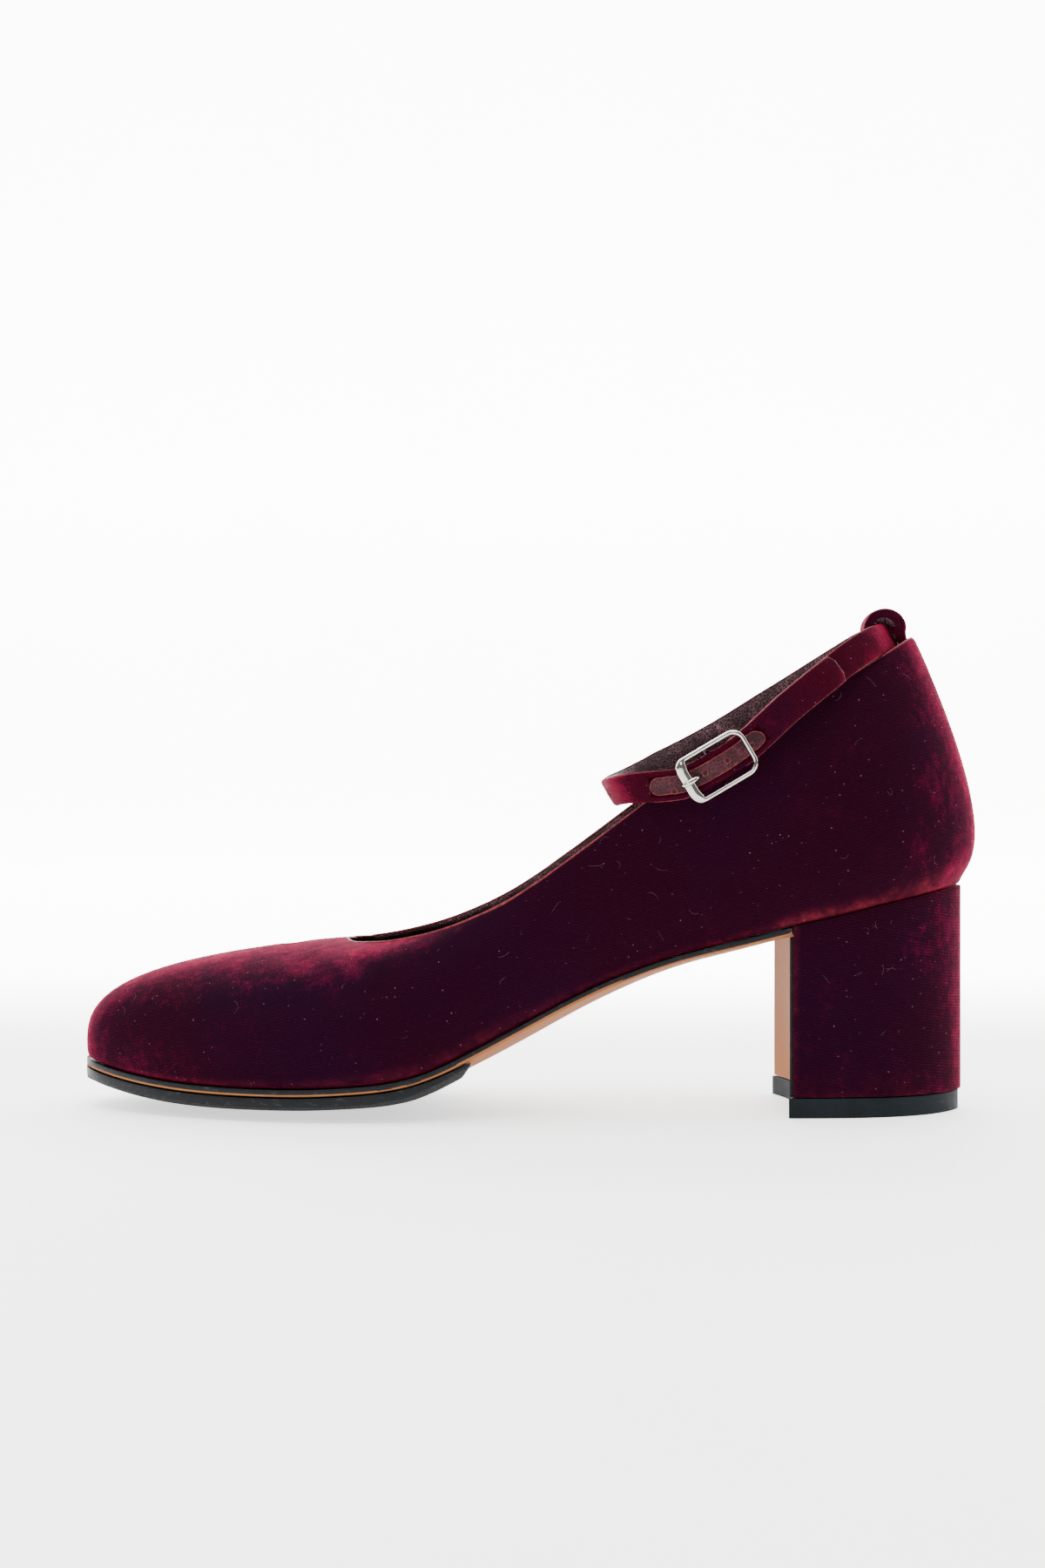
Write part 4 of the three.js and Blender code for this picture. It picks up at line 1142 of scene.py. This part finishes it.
frame_points = [v.co.copy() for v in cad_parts["buckle_frame"].data.vertices]
frame_middle = sum(frame_points, Vector((0, 0, 0))) / len(frame_points)
ALONG = long_axis(frame_points, frame_middle)
OUTWARD = ALONG.cross(STRAP_UP).normalized()
if OUTWARD.y < 0:
    OUTWARD.negate()
UP = OUTWARD.cross(ALONG).normalized()
if UP.z < 0:
    UP.negate()


def reach(direction):
    """Lowest and highest place of the CAD buckle in a direction."""
    values = [p.dot(direction) for p in frame_points]
    return min(values), max(values)


def centre_of_reach(direction):
    return sum(reach(direction)) / 2


FRAME_LEVEL = reach(OUTWARD)[1] - FRAME_DEPTH
FRAME_CENTRE = ALONG * centre_of_reach(ALONG) + UP * centre_of_reach(UP) + OUTWARD * FRAME_LEVEL
BAR_LEVEL = BAR_HEIGHT + reach(OUTWARD)[0] - FRAME_LEVEL
print("buckle length and width:", [round(reach(d)[1] - reach(d)[0], 4) for d in (ALONG, UP)])


def in_buckle(x, y, z):
    """A place in the buckle's own plane: x to the front, y up its width and z outwards."""
    return FRAME_CENTRE + ALONG * x + UP * y + OUTWARD * z


def make_frame():
    """A closed thread round four corners, broad along the end bar and then pressed flatter."""
    run = []
    for quarter in range(4):
        sx = 1 if quarter in (0, 3) else -1
        sy = 1 if quarter in (0, 1) else -1
        for k in range(CORNER_STEPS + 1):
            angle = (quarter + k / CORNER_STEPS) * math.pi / 2
            x = sx * (HALF_LENGTH - CORNER) + CORNER * math.cos(angle)
            y = sy * (HALF_WIDTH - CORNER) + CORNER * math.sin(angle)
            front = step(x, HALF_LENGTH - CORNER, HALF_LENGTH)
            broad = SIDE_BAR + (END_BAR - SIDE_BAR) * front
            x -= front * (END_BAR - SIDE_BAR) / 2
            run.append((in_buckle(x, y, 0), broad / SIDE_BAR))
    ring = tube("buckle_ring", [run], SIDE_BAR / 2, metal, closed=True, fullness=4)
    for point in ring.data.vertices:
        offset = point.co - FRAME_CENTRE
        front = step(offset.dot(ALONG), HALF_LENGTH - CORNER, HALF_LENGTH)
        point.co -= OUTWARD * offset.dot(OUTWARD) * (SIDE_FLATNESS + END_FLATNESS * front)
    return ring


keep_for(make_frame(), "polished_metal", "buckle_frame")


def make_centre_bar():
    corners = [(-HALF_WIDTH, 0), (-HALF_WIDTH, BAR_LEVEL), (HALF_WIDTH, BAR_LEVEL), (HALF_WIDTH, 0)]
    run = [(in_buckle(0, y, z), 1) for y, z in corners]
    return tube("buckle_bar", [run], BAR_RADIUS, metal, fullness=4)


keep_for(make_centre_bar(), "polished_metal")


def make_prong():
    """The prong: an eye round the centre bar, a shank and a blunt tip over the front bar."""
    top = FRAME_DEPTH + BAR_RADIUS
    shank = []
    for along, bar_share, top_share, lift, radius in PRONG:
        z = BAR_LEVEL * bar_share + top * top_share + lift * MM
        shank.append((in_buckle(along * MM, 0, z), radius))
    eye = []
    for k in range(EYE_STEPS + 1):
        angle = k / EYE_STEPS * 2 * math.pi
        x = EYE_RADIUS * math.cos(angle)
        z = BAR_LEVEL + EYE_RADIUS * math.sin(angle)
        eye.append((in_buckle(x, 0, z), 0.85))
    return tube("prong_and_eye", [shank, eye], PRONG_RADIUS, metal, fullness=4)


prong_and_eye = make_prong()
use(prong_and_eye, "SUBSURF", levels=1, render_levels=1)
keep_for(prong_and_eye, "polished_metal", "buckle_prong")

# %% [markdown]
# Punched holes sit along the middle of the strip, less than a centimetre apart. Each is a dark disc,
# painted shade for the hollow of the hole, with a torn rim round it. A ray from outside finds the strip's
# face at each place, so that disc and rim lie on it.

# %% Punched holes
HOLE_PLACES = [-10.5 * MM, -2.9 * MM, 3.6 * MM, 12.5 * MM]
HOLE_RADIUS = 0.75 * MM
HOLE_DEPTH = 0.2 * MM
HOLE_LIFT = 0.06 * MM
RIM_LIFT = 0.05 * MM
RIM_RADIUS = 0.17 * MM
RIM_STEPS = 12


def make_holes():
    """The runs of points for the dark discs, painted shade where the holes are, and for their torn rims."""
    face = tree_of(strip)
    chance = random.Random(5)
    discs = []
    rims = []
    for x in HOLE_PLACES:
        start = in_buckle(x, 0, 12 * MM)
        spot, normal = face.ray_cast(start, -OUTWARD)[:2]
        if not spot:
            continue
        side = normal.cross(UP).normalized()
        tall = side.cross(normal).normalized()
        discs.append([(spot - normal * HOLE_DEPTH, 1), (spot + normal * HOLE_LIFT, 1)])
        rim = []
        for k in range(RIM_STEPS):
            angle = k / RIM_STEPS * 2 * math.pi
            wide = HOLE_RADIUS * chance.uniform(0.9, 1.2)
            offset = side * math.cos(angle) * wide + tall * math.sin(angle) * wide
            rim.append((spot + offset + normal * RIM_LIFT, chance.uniform(0.5, 1.1)))
        rims.append(rim)
    return discs, rims


hole_discs, hole_rims = make_holes()
keep_for(tube("punched_hole_shade", hole_discs, HOLE_RADIUS, hole_shade, fullness=3), "strip_leather")
keep_for(tube("torn_rims", hole_rims, RIM_RADIUS, pink_edge, closed=True), "strip_leather")

# %% [markdown]
# Velvet catches lint. Short curled fibres lie on it at random, a few longer ones among them. A spot is
# drawn on the outer faces by area, and a fibre is a thin tube through five points close to the surface.

# %% Lint
LINT_RADIUS = 0.02 * MM
LINT_LIFT = 0.1 * MM
LINT_RISE = 0.35 * MM
LINT = [
    # name, piece, count, seeds of the places and of the shapes, shortest, longest and slot
    ("upper_lint", velvet_upper, 230, 3, 4, 0.4 * MM, 4.5 * MM, "velvet"),
    ("heel_lint", velvet_heel, 90, 6, 7, 0.3 * MM, 3 * MM, "heel_velvet"),
]


def random_faces(piece, chance, count):
    """Faces of a piece's first material, drawn by area."""
    faces = [f for f in piece.data.polygons if f.material_index == 0]
    return chance.choices(faces, weights=[f.area for f in faces], k=count)


def make_lint(name, faces, seed, shortest, longest):
    """A curled fibre over the middle of each face."""
    chance = random.Random(seed)
    runs = []
    for spot, normal in [(f.center.copy(), f.normal.copy()) for f in faces]:
        length = shortest + (longest - shortest) * chance.random() ** 3
        heading = Vector([chance.uniform(-1, 1) for _ in range(3)])
        heading = (heading - normal * heading.dot(normal)).normalized()
        sideways = normal.cross(heading)
        curl = chance.uniform(-1.2, 1.2)
        run = []
        for k in range(5):
            share = k / 4
            turn = curl * share
            ahead = heading * math.cos(turn) + sideways * math.sin(turn)
            lift = LINT_LIFT + LINT_RISE * share * chance.random()
            run.append((spot + ahead * length * (share - 0.5) + normal * lift, 1))
        runs.append(run)
    return tube(name, runs, LINT_RADIUS, lint_fibre, fullness=0)


for name, piece, count, place_seed, seed, shortest, longest, slot in LINT:
    faces = random_faces(piece, random.Random(place_seed), count)
    keep_for(make_lint(name, faces, seed, shortest, longest), slot)

# %% [markdown]
# The pile itself is too fine to model thread by thread. But against the light a fringe of single threads
# shows along every edge, so a sparse coat of short threads stands on the cloth, each leaning its own way.

# %% Pile threads
THREAD_RADIUS = 0.016 * MM
THREAD_LENGTH = 0.45 * MM
THREAD_LEAN = 0.45
PILES = [
    # name, piece, count, seed and slot
    ("upper_pile", velvet_upper, 7000, 21, "velvet"),
    ("heel_pile", velvet_heel, 2600, 22, "heel_velvet"),
    ("strap_pile", velvet_strap, 3200, 23, "strap_velvet"),
    ("loop_pile", velvet_loop, 350, 24, "strap_velvet"),
]


def inside_face(face, mesh, chance):
    """A random place on a face."""
    shares = [chance.random() + 0.01 for _ in face.vertices]
    total = sum(shares)
    place = Vector((0, 0, 0))
    for share, number in zip(shares, face.vertices):
        place += mesh.vertices[number].co * (share / total)
    return place


def make_pile(name, piece, count, seed):
    """Straight threads that stand on the velvet, each with a lean of its own."""
    chance = random.Random(seed)
    runs = []
    for face in random_faces(piece, chance, count):
        foot = inside_face(face, piece.data, chance)
        lean = Vector([chance.uniform(-THREAD_LEAN, THREAD_LEAN) for _ in range(3)])
        tip = foot + (face.normal + lean) * THREAD_LENGTH * chance.uniform(0.6, 1.2)
        runs.append([(foot, 1), (tip, 0.5)])
    return tube(name, runs, THREAD_RADIUS, pile_fibre, fullness=0)


for name, piece, count, seed, slot in PILES:
    keep_for(make_pile(name, piece, count, seed), slot)
